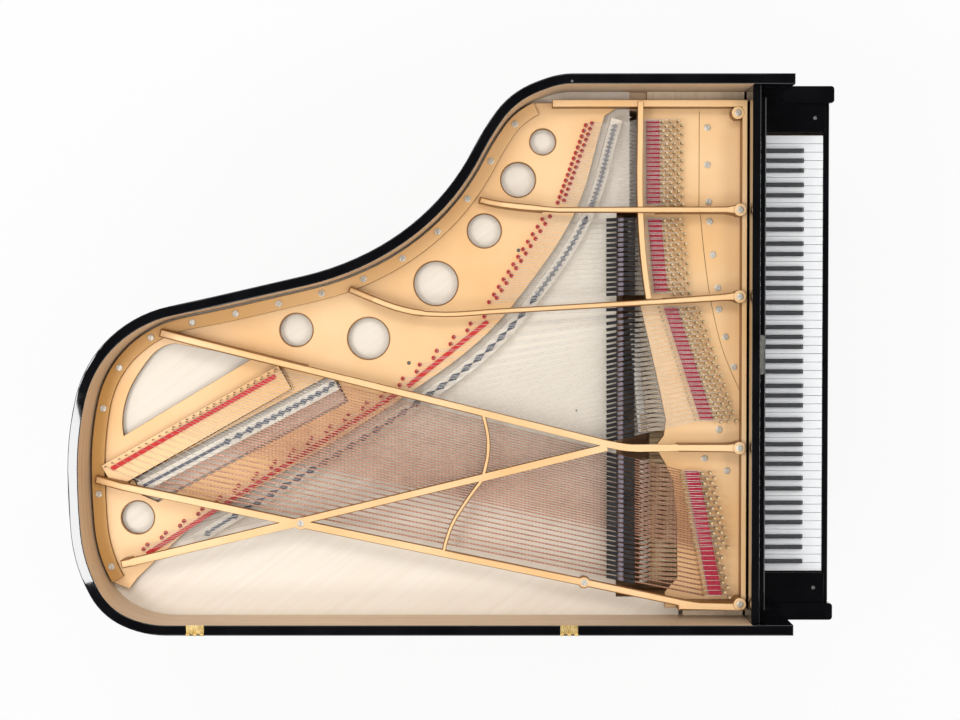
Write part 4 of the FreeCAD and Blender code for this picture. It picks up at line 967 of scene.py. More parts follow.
def prism(mesh: Mesh, outline: Sequence[Vector], low: float, high: float) -> None:
    """Add an upright prism to a mesh.

    Args:
        mesh: the mesh.
        outline: corners in plan, counterclockwise from above.
        low: level of its base.
        high: level of its top.
    """
    base = [mesh.verts.new((point.x, point.y, low)) for point in outline]
    top = [mesh.verts.new((point.x, point.y, high)) for point in outline]
    mesh.faces.new(base[::-1])
    mesh.faces.new(top)
    for i, start in enumerate(base):
        j = (i + 1) % len(base)
        mesh.faces.new((start, base[j], top[j], top[i]))


def flat(spot: Vector) -> Vector:
    """Plan place of a point."""
    return Vector((spot.x, spot.y, 0))


def distance_to(line: Sequence[Vector], spot: Vector) -> float:
    """Plan distance from a point to a line of straight runs."""
    runs = [(flat(start), flat(end)) for start, end in zip(line, line[1:])]
    return min((intersect_point_line(spot, start, end)[0] - spot).length for start, end in runs)


def add_tube(mesh: Mesh, rings: Sequence[tuple[Vector, float]], sides: int, bare_below: float) -> None:
    """Add a closed tube to a mesh, with its bare runs in the second material.

    Args:
        mesh: the mesh.
        rings: middle and radius of each ring.
        sides: corners of a ring.
        bare_below: radius under which a run is bare.
    """
    loops = []
    turns = [2 * math.pi * k / sides for k in range(sides)]
    for i, (spot, radius) in enumerate(rings):
        along = (rings[min(i + 1, len(rings) - 1)][0] - rings[max(i - 1, 0)][0]).normalized()
        aside = along.cross(UP).normalized()
        lift = aside.cross(along)
        loops.append([mesh.verts.new(spot + (aside * math.cos(turn) + lift * math.sin(turn)) * radius)
                      for turn in turns])
    mesh.faces.new(loops[0])
    mesh.faces.new(loops[-1][::-1])
    for (first, second), (_, radius) in zip(zip(loops, loops[1:]), rings[1:]):
        for k in range(sides):
            face = mesh.faces.new((first[k], second[k], second[(k + 1) % sides], first[(k + 1) % sides]))
            face.smooth = True
            face.material_index = int(radius < bare_below)


@dataclass
class Case:
    """Rim, arms, keybed, blocks, stretcher, fallboard and hinges."""

    shop: Workshop
    edge_round: float = 1.5 * MM
    block_round: float = 1.2 * MM
    wood_round: float = 1 * MM
    lock_round: float = 0.5 * MM
    hinge_round: float = 0.4 * MM
    knob_depth: float = 8 * MM
    knob_width: float = 20 * MM
    front_of_well: float = -0.778
    probe: float = 4 * MM
    steep: float = 0.5
    filler_box: tuple[Triple, Triple] = ((0.668, -0.5095, 0.690), (0.7165, -0.4635, 0.838))

    def build(self) -> None:
        """Dress the case."""
        shop, palette = self.shop, self.shop.palette
        self.rim()
        for node in ("key_slip", "stretcher"):
            shop.dress(node, "case", "black_lacquer", [palette.lacquer], self.edge_round)
        self.key_blocks()
        shop.dress("fallboard", "fallboard", "black_lacquer", [palette.lacquer], self.edge_round)
        shop.dress("fallboard_lock", "fallboard", "polished_brass", [palette.chrome], self.lock_round)
        shop.dress("lid_hinges", "case", "polished_brass", [palette.brass], self.hinge_round)
        for node in ("rim_inner", "belly_rail", "back_braces", "keybed"):
            shop.dress(node, "case", "rim_wood", [palette.beech], self.edge_round)
        shop.dress("pin_block", "case", "rim_wood", [palette.block_wood], self.wood_round)
        self.filler()

    def rim(self) -> None:
        """Rim with black lacquer outside and wood on the inner wall, over the inner rim and the pin block."""
        shop, palette = self.shop, self.shop.palette
        below = []
        for node in ("rim_inner", "pin_block"):
            mesh = shop.shell(node)
            below.append(BVHTree.FromBMesh(mesh))
            mesh.free()

        def pick(face: Face) -> int:
            """Choose a face's finish.

            Args:
                face: the face.

            Returns:
                1 for a face of the inner wall and 0 for the rest.
            """
            spot = face.calc_center_median() + face.normal * self.probe
            if abs(face.normal.z) > self.steep or spot.y < self.front_of_well:
                return 0
            inward = abs(face.normal.x) > FACING and face.normal.x * spot.x < 0
            return int(inward or any(tree.ray_cast(spot, -UP)[0] is not None for tree in below))

        mesh = shop.shell("rim_outer")
        shop.cut(mesh, (0, self.front_of_well, 0), (0, 1, 0))
        thing = shop.piece("rim_outer_dressed", mesh, [palette.lacquer, palette.veneer], pick)
        shop.soften(thing, self.edge_round)
        shop.keep(thing, "case", "black_lacquer", "rim_outer")

    def key_blocks(self) -> None:
        """Lacquered blocks at the ends of the keyboard, each with a small knob."""
        shop, palette = self.shop, self.shop.palette
        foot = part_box("key_blocks")[1].z - self.knob_depth
        shop.dress("key_blocks", "case", "black_lacquer", [palette.lacquer, palette.pewter], self.block_round,
                   lambda face: int(face.calc_center_median().z > foot and self.knob_sized(face)))

    def knob_sized(self, face: Face) -> bool:
        """Whether a face is as small as those of a knob."""
        return max((vertex.co - face.verts[0].co).length for vertex in face.verts) < self.knob_width

    def filler(self) -> None:
        """Wooden block that closes the treble corner between the soundboard and the pin block."""
        (x0, y0, z0), (x1, y1, z1) = self.filler_box
        mesh = bmesh.new()
        prism(mesh, [Vector(spot) for spot in ((x0, y0, 0), (x1, y0, 0), (x1, y1, 0), (x0, y1, 0))], z0, z1)
        thing = self.shop.piece("treble_corner_block", mesh, [self.shop.palette.veneer])
        self.shop.keep(self.shop.soften(thing, self.wood_round), "case", "rim_wood")


@dataclass
class Board:
    """Soundboard, ribs and the two bridges."""

    shop: Workshop
    board_round: float = 0.8 * MM
    rib_round: float = 1.5 * MM
    bridge_round: float = 1.2 * MM
    cap_depth: float = 2 * MM
    cap_sink: float = 0.3 * MM
    cap_step: float = 0.05 * MM
    cap_length: float = 16 * MM
    bar_width: float = 8 * MM
    diamond_width: float = 18 * MM
    diamond_length: float = 44 * MM
    step_share: float = 0.56
    pin_radius: float = 0.9 * MM
    pin_height: float = 2.6 * MM
    pin_inset: float = 2 * MM
    pin_aside: float = 1.3 * MM
    pin_sink: float = 0.8 * MM
    pin_sides: int = 8
    unison: int = 3
    bichord_reach: float = 12 * MM
    section_gap: float = 48 * MM
    ring_gap: float = 4 * MM
    apron_top: float = 0.8475
    pins: list[Vector] = field(default_factory=list)

    def build(self) -> None:
        """Dress the board and build the bridges."""
        shop, palette = self.shop, self.shop.palette
        shop.dress("soundboard", "case", "spruce", [palette.spruce], self.board_round)
        shop.dress("soundboard_ribs", "case", "spruce", [palette.spruce], self.rib_round)
        self.bridge("treble_bridge", "plain_strings")
        self.bridge("bass_bridge", "wound_strings")
        tree = Repeat(shop, "bridge_pins")
        pin = tree.add("GeometryNodeMeshCylinder", Vertices=self.pin_sides,
                       Radius=tree.size("Pin radius", self.pin_radius),
                       Depth=tree.size("Pin height", self.pin_height))
        thing = tree.put("bridge_pins", pin.outputs["Mesh"], self.pins, palette.steel)
        shop.keep(thing, "case", "string_steel")

    def bridge(self, node: str, strings: str) -> None:
        """Replace a bridge by a lowered body and a notched cap under its strings.

        Args:
            node: the bridge.
            strings: the node of the strings that cross it.
        """
        shop = self.shop
        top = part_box(node)[1].z
        body = shop.shell(node)
        for vertex in body.verts:
            if vertex.co.z > top - LEVEL_SLACK:
                vertex.co.z -= self.cap_depth
        thing = shop.piece(f"{node}_body", body, [shop.palette.maple, shop.palette.apron],
                           lambda face: int(face.calc_center_median().z < self.apron_top))
        shop.keep(shop.soften(thing, self.bridge_round), "case", "bridge_maple", node)
        cap = bmesh.new()
        for section in self.sections(self.crossings(node, strings)):
            self.chain(cap, section, top)
            self.pins += [pin for note in section for pin in self.pins_of(note, top)]
        thing = shop.piece(f"{node}_cap", cap, [shop.palette.graphite])
        shop.keep(thing, "case", "bridge_maple")

    def crossings(self, node: str, strings: str) -> list[Crossing]:
        """Where the strings cross a bridge.

        Args:
            node: the bridge.
            strings: the node of the strings.

        Returns:
            Middle and direction of each string on the bridge, from treble to bass.
        """
        shop = self.shop
        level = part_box(node)[1].z - self.cap_depth
        mesh = shop.shell(node)
        tree = BVHTree.FromBMesh(mesh)
        mesh.free()
        found = []
        for points in shop.islands(strings):
            line = self.centre_line(points)
            for start, end in zip(line, line[1:]):
                along = flat(end - start)
                reach = along.length
                along.normalize()
                near = tree.ray_cast(Vector((start.x, start.y, level)), along, reach)[0]
                if near is None:
                    continue
                far = tree.ray_cast(near + along * MM, along, reach)[0]
                if far is not None:
                    found.append(((near + far) / 2, along))
                    break
        return sorted(found, key=lambda crossing: -crossing[0].x)

    def centre_line(self, points: list[Vector]) -> list[Vector]:
        """Line along the middle of a string.

        Args:
            points: the points of the string's mesh.

        Returns:
            Middles of the rings that the mesh is made of, from the keyboard to the tail.
        """
        rings: list[list[Vector]] = []
        for point in sorted(points, key=lambda spot: spot.y):
            if rings and point.y - rings[-1][-1].y < self.ring_gap:
                rings[-1].append(point)
            else:
                rings.append([point])
        return [middle_of(ring) for ring in rings]

    def sections(self, crossings: list[Crossing]) -> list[list[Note]]:
        """Sort crossings by note and section.

        Args:
            crossings: the crossings from treble to bass.

        Returns:
            The notes of each section, split where a strut leaves a wide gap.
        """
        notes: list[Note] = []
        for crossing in crossings:
            last = notes[-1] if notes else None
            if last and len(last) < self.unison and (crossing[0] - last[-1][0]).length < self.bichord_reach:
                last.append(crossing)
            else:
                notes.append([crossing])
        parts = [[notes[0]]]
        for before, note in zip(notes, notes[1:]):
            if (note[0][0] - before[-1][0]).length > self.section_gap:
                parts.append([])
            parts[-1].append(note)
        return parts

    def add_block(self, cap: Mesh, outline: list[Vector], top: float) -> None:
        """Add a thin block to a cap, whichever way its outline runs.

        Args:
            cap: the mesh of the cap.
            outline: corners in plan.
            top: level of the block's top.
        """
        if (outline[1] - outline[0]).cross(outline[2] - outline[1]).z < 0:
            outline.reverse()
        prism(cap, outline, top - self.cap_depth - self.cap_sink, top)

    def chain(self, cap: Mesh, section: list[Note], top: float) -> None:
        """Add a diamond for each note with two or three strings and a slim bar under the single strings.

        Args:
            cap: the mesh of the cap.
            section: the section's notes.
            top: level of the bridge's top.
        """
        middles = [middle_of([spot for spot, _ in note]) for note in section]
        last = len(middles) - 1
        for i, (note, middle) in enumerate(zip(section, middles)):
            first, second = max(i - 1, 0), min(i + 1, last)
            step = (middles[second] - middles[first]) / max(second - first, 1)
            if step.length < MM:
                step = Vector((note[0][1].y, -note[0][1].x, 0)) * self.diamond_width
            aside = Vector((step.y, -step.x, 0)).normalized()
            reach = step * min(self.step_share, self.diamond_length / 2 / step.length)
            level = top - self.cap_step * (i % 2)
            start, end = middle - reach, middle + reach
            if len(note) == 1:
                edge = aside * self.bar_width / 2
                self.add_block(cap, [start - edge, end - edge, end + edge, start + edge], level)
            else:
                edge = aside * self.diamond_width / 2
                self.add_block(cap, [start, middle - edge, end, middle + edge], level)

    def pins_of(self, note: Note, top: float) -> list[Vector]:
        """Places of the bridge pins on both sides of a note's strings.

        Args:
            note: the note's crossings.
            top: level of the bridge's top.

        Returns:
            The middle of each pin.
        """
        found = []
        level = top + self.pin_height / 2 - self.pin_sink
        for spot, way in note:
            across = Vector((way.y, -way.x, 0))
            for sign in (-1, 1):
                pin = spot + (way * (self.cap_length / 2 - self.pin_inset) + across * self.pin_aside) * sign
                found.append(Vector((pin.x, pin.y, level)))
        return found


@dataclass
class Plate:
    """Gilt iron plate with its bolts, hole beads and seams, whose plan places are in millimetres."""

    shop: Workshop
    edge_round: float = 6 * MM
    round_segments: int = 3
    small_share: float = 0.27
    width_share: float = 0.42
    widest: float = 40 * MM
    width_start: float = 0.5 * MM
    step_merge: float = 3.5 * MM
    shortest: float = 1.6 * MM
    strut_top: float = 0.9183
    strut_depth: float = 30 * MM
    top_slack: float = 0.2 * MM
    slope_length: float = 80 * MM
    slope_width: float = 15 * MM
    slope_drop: float = 30 * MM
    slope_slack: float = 0.1 * MM
    end_slack: float = 10 * MM
    slopes: tuple[tuple[Spot, Spot], ...] = (
        ((420, -52), (394, -225)), ((178, 302), (112, 100)), ((60, 816), (-39, 416)),
        ((-339, 993), (-358, 903)))
    junctions: tuple[Spot, ...] = ((-245, -385), (-460, 385))
    junction_reach: float = 120 * MM
    web_top: float = 0.862
    bead_radius: float = 1.7 * MM
    bead_steps: int = 72
    bead_sides: int = 8
    holes: tuple[Triple, ...] = (
        (579, -225, 34), (476, -158, 46), (337, -66, 45), (194, 66, 59), (44, 250, 56), (67, 447, 44),
        (-446, 882, 44))
    seam_radius: float = 0.9 * MM
    seam_order: int = 3
    seam_resolution: int = 2
    seams: tuple[tuple[Spot, ...], ...] = (
        ((662, -651), (401, -651)), ((381, -655), (270, -664), (168, -680)),
        ((146, -684), (67, -700), (-15, -725), (-97, -763)))

    def build(self) -> None:
        """Dress the plate and add what is cast on it."""
        shop, palette = self.shop, self.shop.palette
        mesh = shop.shell("iron_plate")
        tops = [vertex for vertex in mesh.verts if self.on_top(vertex)]
        bmesh.ops.remove_doubles(mesh, verts=tops, dist=self.step_merge)
        for end, inward in self.slopes:
            spot, along = self.line_of(end, inward)
            self.cut_struts(mesh, spot + along * self.slope_length, along)
        self.weigh(mesh)
        for end, inward in self.slopes:
            self.lower_end(mesh, end, inward)
        thing = shop.piece("iron_plate_dressed", mesh, [palette.bronze])
        shop.soften(thing, self.edge_round, self.round_segments, weighed=True)
        shop.keep(thing, "case", "gilt_iron", "iron_plate")
        shop.paint("plate_bolts", palette.bolt)
        self.beads()
        self.seam_lines()

    def on_top(self, vertex: bmesh.types.BMVert) -> bool:
        """Whether a corner lies on the level of the struts' tops."""
        return abs(vertex.co.z - self.strut_top) < self.top_slack

    def line_of(self, end: Spot, inward: Spot) -> tuple[Vector, Vector]:
        """End of a strut and its direction from there."""
        spot = Vector((*end, 0)) * MM
        return spot, (Vector((*inward, 0)) * MM - spot).normalized()

    def cut_struts(self, mesh: Mesh, spot: Vector, way: Vector) -> None:
        """Cut the struts across, where an end starts to fall.

        Args:
            mesh: the plate's mesh.
            spot: a point of the cutting plane.
            way: the plane's normal.
        """
        foot = self.strut_top - self.strut_depth
        near = [face for face in mesh.faces if face.calc_center_median().z > foot]
        edges = {edge for face in near for edge in face.edges}
        verts = {vertex for face in near for vertex in face.verts}
        bmesh.ops.bisect_plane(mesh, geom=[*verts, *edges, *near], plane_co=spot, plane_no=way)

    def lower_end(self, mesh: Mesh, end: Spot, inward: Spot) -> None:
        """Let the end of a strut fall to the flange.

        Args:
            mesh: the plate's mesh.
            end: the strut's end.
            inward: a place farther along the strut.
        """
        spot, along = self.line_of(end, inward)
        aside = Vector((along.y, -along.x, 0))
        for vertex in mesh.verts:
            away = vertex.co - spot
            reach = away.dot(along)
            if not self.on_top(vertex) or abs(away.dot(aside)) > self.slope_width:
                continue
            if -self.end_slack < reach < self.slope_length - self.slope_slack:
                vertex.co.z -= self.slope_drop * (1 - max(reach, 0) / self.slope_length)

    def weigh(self, mesh: Mesh) -> None:
        """Weigh the plate's edges: by width on the tops of the struts, a share elsewhere, none if short.

        Args:
            mesh: the plate's mesh.
        """
        layer = mesh.edges.layers.float.new("bevel_weight_edge")
        tops = [edge for edge in mesh.edges if self.on_strut(edge)]
        for edge in mesh.edges:
            if len(edge.link_faces) != 2 or not edge.is_convex or edge.calc_length() < self.shortest:
                continue
            if edge.calc_face_angle() > SHARP_ANGLE:
                edge[layer] = self.small_share
        for edge in tops:
            wide = min(1.0, self.width_share * self.width_at(edge, tops) / self.edge_round)
            edge[layer] = self.small_share if self.at_junction(edge) else wide

    def at_junction(self, edge: Edge) -> bool:
        """Whether an edge is close to where two struts meet at a narrow angle."""
        spots = [Vector(spot) * MM for spot in self.junctions]
        return any((vertex.co.xy - spot).length < self.junction_reach
                   for vertex in edge.verts for spot in spots)

    def on_strut(self, edge: Edge) -> bool:
        """Whether an edge bounds the top of a strut or brace."""
        level = all(self.on_top(vertex) for vertex in edge.verts)
        return level and len(edge.link_faces) == 2 and edge.is_convex and edge.calc_face_angle() > SHARP_ANGLE

    def width_at(self, edge: Edge, others: list[Edge]) -> float:
        """Width of a strut's top across from one of its edges.

        Args:
            edge: the edge.
            others: all edges of the tops.

        Returns:
            The width, or the farthest looked at where nothing is met.
        """
        top = max(edge.link_faces, key=lambda face: face.normal.z)
        loop = next(loop for loop in top.loops if loop.edge == edge)
        start, end = loop.vert.co, loop.link_loop_next.vert.co
        middle = ((start + end) / 2).xy
        inward = UP.cross(end - start).normalized().xy
        near, farthest = middle + inward * self.width_start, self.widest
        for other in others:
            first, second = (vertex.co.xy for vertex in other.verts)
            met = intersect_line_line_2d(near, middle + inward * farthest, first, second)
            if met is not None:
                farthest = (met - middle).length
        return farthest

    def beads(self) -> None:
        """Bead round each hole of the web, in darker bronze that paints the shade along the hole's rim."""
        for index, (x, y, radius) in enumerate(self.holes):
            name = f"hole_bead_{index}"
            tree = Repeat(self.shop, name)
            path = tree.add("GeometryNodeCurvePrimitiveCircle", Resolution=self.bead_steps,
                            Radius=tree.size("Bead line", radius * MM + self.bead_radius))
            radius = tree.size("Bead radius", self.bead_radius)
            bead = tree.tube(path.outputs["Curve"], radius, self.bead_sides)
            spot = Vector((x * MM, y * MM, self.web_top))
            self.shop.keep(tree.put(name, bead, [spot], self.shop.palette.seam), "case", "gilt_iron")

    def seam_lines(self) -> None:
        """Cast seam across the pin field, as a slim ridge between the struts, in the same darker bronze of
        painted edge shade.
        """
        for index, line in enumerate(self.seams):
            curve = bpy.data.curves.new(f"seam_line_{index}", "CURVE")
            curve.dimensions = "3D"
            curve.bevel_depth = self.seam_radius
            curve.bevel_resolution = self.seam_resolution
            spline = curve.splines.new("NURBS")
            spline.points.add(len(line) - 1)
            for point, (x, y) in zip(spline.points, line):
                point.co = (x * MM, y * MM, self.web_top, 1)
            spline.order_u = min(self.seam_order, len(line))
            spline.use_endpoint_u = True
            drawn = stand(f"plate_seam_edge_shade_{index}", curve)
            depsgraph = bpy.context.evaluated_depsgraph_get()
            mesh = bpy.data.meshes.new_from_object(drawn.evaluated_get(depsgraph))
            bpy.data.objects.remove(drawn)
            mesh.materials.append(self.shop.palette.seam)
            self.shop.keep(stand(f"plate_seam_edge_shade_{index}", mesh), "case", "gilt_iron")


@dataclass
class Stringing:
    """Strings, pins, coils, agraffes and felts."""

    shop: Workshop
    pin_round: float = 0.6 * MM
    pin_radius: float = 3.2 * MM
    pin_stand: float = 16 * MM
    coil_wire: float = 0.8 * MM
    coil_turns: float = 2.0
    coil_pitch: float = 2.3
    coil_drop: float = 3.4 * MM
    coil_steps: int = 8
    coil_sides: int = 3
    felt_round: float = 1.6 * MM
    felt_segments: int = 3
    front_felts_to: float = -0.45
    core_radius: float = 0.6 * MM
    bare_below: float = 0.9 * MM
    winding_short: float = 24 * MM
    taper: float = 4 * MM
    string_sides: int = 8

    def build(self) -> None:
        """Dress the strings and what holds them."""
        shop, palette = self.shop, self.shop.palette
        shop.paint("plain_strings", palette.steel)
        self.wound()
        shop.paint("agraffes", palette.brass)
        shop.paint("hitch_pins", palette.hitch)
        shop.dress("tuning_pins", "case", "string_steel", [palette.pin], self.pin_round, None, 1)
        self.coils()
        self.felts()

    def wound(self) -> None:
        """Bass strings: wound from the agraffes to just before the bridge, then bare to the hitch pins."""
        shop, board = self.shop, Board(self.shop)
        crossings = [flat(spot) for spot, _ in board.crossings("bass_bridge", "wound_strings")]
        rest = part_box("bass_bridge")[1].z + self.core_radius
        core = self.core_radius
        mesh = bmesh.new()
        for points in shop.islands("wound_strings"):
            line = board.centre_line(points)
            levels = [point.z for point in points]
            radius = (max(levels) - min(levels)) / 2
            if radius < self.bare_below:
                rings = [(line[0], core), (line[-1], core)]
            else:
                spot = min(crossings, key=lambda crossing: distance_to(line, crossing))
                bridge = Vector((spot.x, spot.y, rest))
                along = (bridge - line[0]).normalized()
                rings = [(line[0], radius), (bridge - along * self.winding_short, radius),
                         (bridge - along * (self.winding_short - self.taper), core), (bridge, core),
                         (Vector((line[-1].x, line[-1].y, rest)), core)]
            add_tube(mesh, rings, self.string_sides, self.bare_below)
        bmesh.ops.recalc_face_normals(mesh, faces=mesh.faces)
        thing = shop.piece("wound_strings_dressed", mesh, [shop.palette.winding, shop.palette.steel])
        shop.keep(thing, "case", "copper_winding", "wound_strings")

    def coils(self) -> None:
        """Turns of wire round every tuning pin."""
        tree = Repeat(self.shop, "tuning_pin_coils")
        radius = self.pin_radius + self.coil_wire
        height = self.coil_turns * self.coil_pitch * self.coil_wire
        spiral = tree.add("GeometryNodeCurveSpiral", Resolution=self.coil_steps,
                          Rotations=tree.size("Turns", self.coil_turns),
                          Start_Radius=tree.size("Coil radius", radius), End_Radius=radius,
                          Height=tree.size("Coil height", height))
        coil = tree.tube(spiral.outputs["Curve"], tree.size("Wire radius", self.coil_wire), self.coil_sides)
        spots = []
        for points in self.shop.islands("tuning_pins"):
            spot, top = middle_of(points), max(point.z for point in points)
            spots.append(Vector((spot.x, spot.y, top - self.pin_stand - self.coil_drop)))
        thing = tree.put("tuning_pin_coils", coil, spots, self.shop.palette.coil)
        self.shop.keep(thing, "case", "string_steel")

    def felts(self) -> None:
        """Crimson strips at the front, and red strips and washers at the hitch pins."""
        shop, palette = self.shop, self.shop.palette
        mesh = shop.shell("string_felts")
        thing = shop.piece("string_felts_cloth", mesh, [palette.red, palette.crimson],
                           lambda face: int(face.calc_center_median().y < self.front_felts_to))
        shop.soften(thing, self.felt_round, self.felt_segments)
        shop.keep(thing, "case", "red_felt", "string_felts")


@dataclass(frozen=True)
class Stud:
    """Small round fitting: a name, a place in plan, the level of its foot, and its radius."""

    name: str
    x: float
    y: float
    level: float
    radius: float


@dataclass
class Fittings:
    """Small round fittings on the plate, the soundboard and the rim."""

    shop: Workshop
    height: float = 1.6 * MM
    sink: float = 0.2 * MM
    sides: int = 20
    studs: tuple[Stud, ...] = (
        Stud("plate_grommet_treble", 0.284, -0.159, 0.862, 5 * MM),
        Stud("plate_grommet_tenor", -0.023, 0.140, 0.862, 5 * MM),
        Stud("soundboard_stud", -0.154, -0.319, 0.840, 3 * MM),
        Stud("rim_stud", 0.724, -0.297, 1.005, 3.5 * MM))

    def build(self) -> None:
        """Make each stud."""
        for stud in self.studs:
            tree = Repeat(self.shop, stud.name)
            disc = tree.add("GeometryNodeMeshCylinder", Vertices=self.sides,
                            Radius=tree.size("Radius", stud.radius), Depth=tree.size("Height", self.height))
            spot = Vector((stud.x, stud.y, stud.level + self.height / 2 - self.sink))
            thing = tree.put(stud.name, disc.outputs["Mesh"], [spot], self.shop.palette.pewter)
            self.shop.keep(thing, "case", "gilt_steel")


@dataclass
class Keyboard:
    """Keys with their coverings, the key frame and the key rails."""

    shop: Workshop
    covering: float = 3 * MM
    covered_to: float = -0.842
    key_round: float = 0.7 * MM
    sharp_round: float = 1.2 * MM
    sharp_segments: int = 3
    frame_round: float = 1 * MM

    def build(self) -> None:
        """Dress the keys."""
        for register in Register:
            self.naturals(register)
            self.sharps(register)
        self.shop.dress("key_frame", "key_frame", "rim_wood", [self.shop.palette.beech], self.frame_round)

    def sharps(self, register: Register) -> None:
        """Black keys of one half: blocks on wooden sticks.

        Args:
            register: the half of the keyboard.
        """
        shop, palette = self.shop, self.shop.palette
        node = f"{KeyKind.SHARPS.value}_{register.value}"
        mesh = shop.shell(node)
        shop.cut(mesh, (0, self.covered_to, 0), (0, 1, 0))
        thing = shop.piece(f"{node}_dressed", mesh, [palette.ebony, palette.key_wood],
                           lambda face: int(face.calc_center_median().y > self.covered_to))
        shop.soften(thing, self.sharp_round, self.sharp_segments)
        shop.keep(thing, node, "black_key", node)

    def naturals(self, register: Register) -> None:
        """White keys of one half: coverings on wooden sticks.

        Args:
            register: the half of the keyboard.
        """
        shop, palette = self.shop, self.shop.palette
        node = f"{KeyKind.NATURALS.value}_{register.value}"
        mesh = shop.shell(node)
        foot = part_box(node)[1].z - self.covering
        shop.cut(mesh, (0, 0, foot), UP)
        shop.cut(mesh, (0, self.covered_to, 0), (0, 1, 0))

        def pick(face: Face) -> int:
            """0 for the covering with its front and 1 for the stick."""
            spot = face.calc_center_median()
            return int(spot.y > self.covered_to or spot.z < foot and face.normal.y > -FACING)

        thing = shop.piece(f"{node}_dressed", mesh, [palette.ivory, palette.key_wood], pick)
        shop.soften(thing, self.key_round)
        shop.keep(thing, node, "white_key", node)


@dataclass
class Action:
    """Hammers, dampers and the rails that carry them."""

    shop: Workshop
    rail_round: float = 1 * MM
    hammer_round: float = 0.8 * MM
    damper_round: float = 0.7 * MM
    head_length: float = 40 * MM
    head_share: float = 0.35
    butt_length: float = 30 * MM
    block_depth: float = 13.5 * MM
    neck_drop: float = 6 * MM

    def build(self) -> None:
        """Dress the action."""
        shop, palette = self.shop, self.shop.palette
        for register in Register:
            for kind in KeyKind:
                keys = f"{kind.value}_{register.value}"
                self.hammers(f"hammers_{keys}")
                self.dampers(f"dampers_{keys}")
        shop.dress("action_rack", "key_frame", "rim_wood", [palette.beech], self.rail_round)
        shop.dress("damper_tray", "damper_tray", "rim_wood", [palette.beech], self.rail_round)
        shop.paint("sostenuto_rod", palette.brass)

    def hammers(self, node: str) -> None:
        """Hammers with felt heads on wooden shanks.

        Args:
            node: the hammers of one group of keys.
        """
        palette = self.shop.palette
        low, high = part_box(node)
        line = low.z + (high.z - low.z) * self.head_share
        start = max(high.y - self.head_length, low.y + self.butt_length)

        def pick(face: Face) -> int:
            """1 for a felt head and 0 for a shank."""
            spot = face.calc_center_median()
            return int(spot.y > start and spot.z > line)

        self.shop.dress(node, node, "hammer_wood", [palette.key_wood, palette.hammer_felt], self.hammer_round,
                        pick)

    def dampers(self, node: str) -> None:
        """Dampers: black blocks joined by a low neck, with their wires.

        Args:
            node: the dampers of one group of keys.
        """
        top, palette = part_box(node)[1].z, self.shop.palette

        def pick(face: Face) -> int:
            """Choose a face's finish.

            Args:
                face: the face.

            Returns:
                0 for a block, 1 for the wire and 2 for the top of the neck.
            """
            drop = top - face.calc_center_median().z
            if drop > self.block_depth:
                return 1
            return 2 if drop > self.neck_drop and face.normal.z > FACING else 0

        self.shop.dress(node, node, "damper_black", [palette.damper, palette.steel, palette.damper_neck],
                        self.damper_round, pick)


@dataclass
class Undercarriage:
    """Legs, casters, pedal lyre, pedals, rods and levers."""

    shop: Workshop
    edge_round: float = 2 * MM
    fork_round: float = 0.8 * MM
    wheel_round: float = 1.5 * MM
    lever_round: float = 1 * MM

    def build(self) -> None:
        """Dress what carries the piano."""
        shop, palette = self.shop, self.shop.palette
        brass = ("polished_brass", [palette.brass])
        for place in (corner.value for corner in Corner):
            shop.dress(f"leg_{place}", "case", "black_lacquer", [palette.lacquer], self.edge_round)
            shop.dress(f"caster_fork_{place}", f"caster_{place}", *brass, self.fork_round)
            shop.dress(f"caster_wheel_{place}", f"wheel_{place}", *brass, self.wheel_round)
        shop.dress("pedal_lyre", "case", "black_lacquer", [palette.lacquer], self.edge_round)
        shop.paint("lyre_braces", palette.brass)
        for side in (pedal.value for pedal in PedalSide):
            lever = f"trap_lever_{side}"
            shop.paint(f"pedal_{side}", palette.brass)
            shop.paint(f"pedal_rod_{side}", palette.brass)
            shop.dress(lever, lever, "rim_wood", [palette.beech], self.lever_round)


@dataclass(frozen=True)
class Lamp:
    """One soft area lamp."""

    name: str
    place: Triple
    aim: Triple
    size: Range
    watts: float

    def light(self) -> None:
        """Hang the lamp."""
        data = bpy.data.lights.new(self.name, "AREA")
        data.shape = "RECTANGLE"
        data.size, data.size_y = self.size
        data.energy = self.watts
        lamp = stand(self.name, data)
        lamp.location = self.place
        lamp.rotation_euler = (Vector(self.aim) - Vector(self.place)).to_track_quat("-Z", "Y").to_euler()


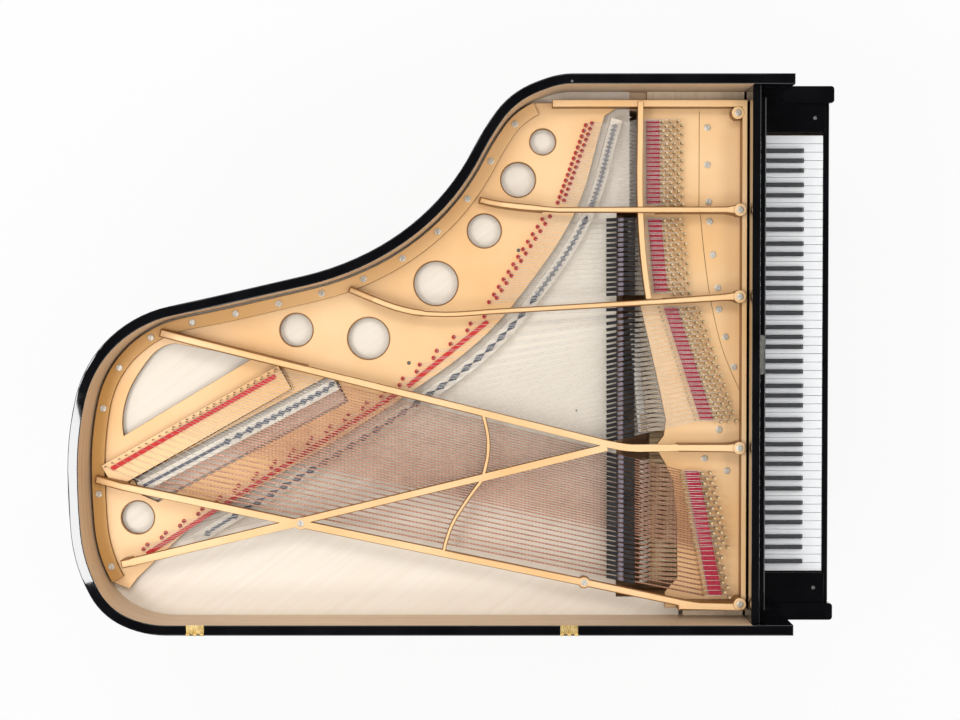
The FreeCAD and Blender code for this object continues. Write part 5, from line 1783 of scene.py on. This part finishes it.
@dataclass
class Studio:
    """Floor, lamps, world and the camera over the piano."""

    shop: Workshop
    camera_place: Triple = (0.0862, -0.05415, 5.5)
    camera_tilt: float = math.radians(1.25)
    camera_reach: float = 100
    lens: float = 63.7
    sensor: float = 36
    floor_size: float = 30
    floor_runs: int = 4
    floor_drop: float = 0.5 * MM
    fill: float = 0.6
    zenith: float = 0.03
    zenith_span: Range = (0.5, 0.86)
    lamps: tuple[Lamp, ...] = (
        Lamp("lamp_treble", (2.6, 0.2, 5.5), (0, 0, 0.8), (4.0, 1.2), 68),
        Lamp("lamp_bass", (-2.8, 0.0, 5.5), (0, 0, 0.8), (4.0, 1.2), 46),
        Lamp("lamp_tail", (0.2, 3.3, 5.5), (0, 0, 0.8), (3.0, 1.2), 34),
        Lamp("lamp_keyboard", (0.0, -3.3, 5.5), (0, 0, 0.8), (3.0, 1.2), 46),
        Lamp("lamp_tail_gleam", (-0.62, 2.42, 5.5), (-0.3, 1.0, 1.0), (1.5, 0.76), 50))

    def build(self) -> None:
        """Set the stage."""
        self.floor()
        self.world()
        for lamp in self.lamps:
            lamp.light()
        self.camera()

    def floor(self) -> None:
        """Pale floor under the casters."""
        mesh = bmesh.new()
        bmesh.ops.create_grid(mesh, x_segments=self.floor_runs, y_segments=self.floor_runs,
                              size=self.floor_size)
        for vertex in mesh.verts:
            vertex.co.z = -self.floor_drop
        self.shop.piece("studio_floor", mesh, [self.shop.palette.floor])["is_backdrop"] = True

    def world(self) -> None:
        """White surroundings with a dark zenith to the eye and in mirrors, and an even fill as light."""
        world = bpy.data.worlds.new("studio_world")
        bpy.context.scene.world = world
        world.use_nodes = True
        tree = world.node_tree
        back = tree.nodes["Background"]
        back.inputs["Color"].default_value = (1, 1, 1, 1)
        coords = add_node(tree, "ShaderNodeTexCoord")
        way = add_node(tree, "ShaderNodeSeparateXYZ", Vector=coords.outputs["Generated"])
        low, high = self.zenith_span
        sky = add_node(tree, "ShaderNodeMapRange", Value=way.outputs["Z"], From_Min=low, From_Max=high,
                       To_Min=1.0, To_Max=self.zenith)
        strength = add_node(tree, "ShaderNodeMapRange", Value=seen_rays(tree), To_Min=self.fill,
                            To_Max=sky.outputs["Result"])
        tree.links.new(strength.outputs["Result"], back.inputs["Strength"])

    def camera(self) -> None:
        """Camera straight above, with the keyboard to the right of the picture."""
        data = bpy.data.cameras.new("camera")
        data.lens = self.lens
        data.sensor_width = self.sensor
        data.clip_end = self.camera_reach
        camera = stand("camera", data)
        lean, level = math.sin(self.camera_tilt), math.cos(self.camera_tilt)
        axes = Matrix(((0, -1, 0), (level, 0, -lean), (lean, 0, level))).transposed().to_4x4()
        camera.matrix_world = Matrix.Translation(self.camera_place) @ axes
        bpy.context.scene.camera = camera
        bpy.context.scene.view_settings.view_transform = "Standard"


def clear_stage() -> None:
    """Remove what a new file holds."""
    for thing in list(bpy.data.objects):
        bpy.data.objects.remove(thing)


def main() -> None:
    """Build every sub-assembly."""
    logging.basicConfig(level=logging.INFO, format="%(message)s")
    clear_stage()
    shop = Workshop()
    for kind in (Case, Board, Plate, Stringing, Fittings, Keyboard, Action, Undercarriage, Studio):
        log.info("building %s", kind.__name__)
        kind(shop).build()


if __name__ == "__main__":
    main()
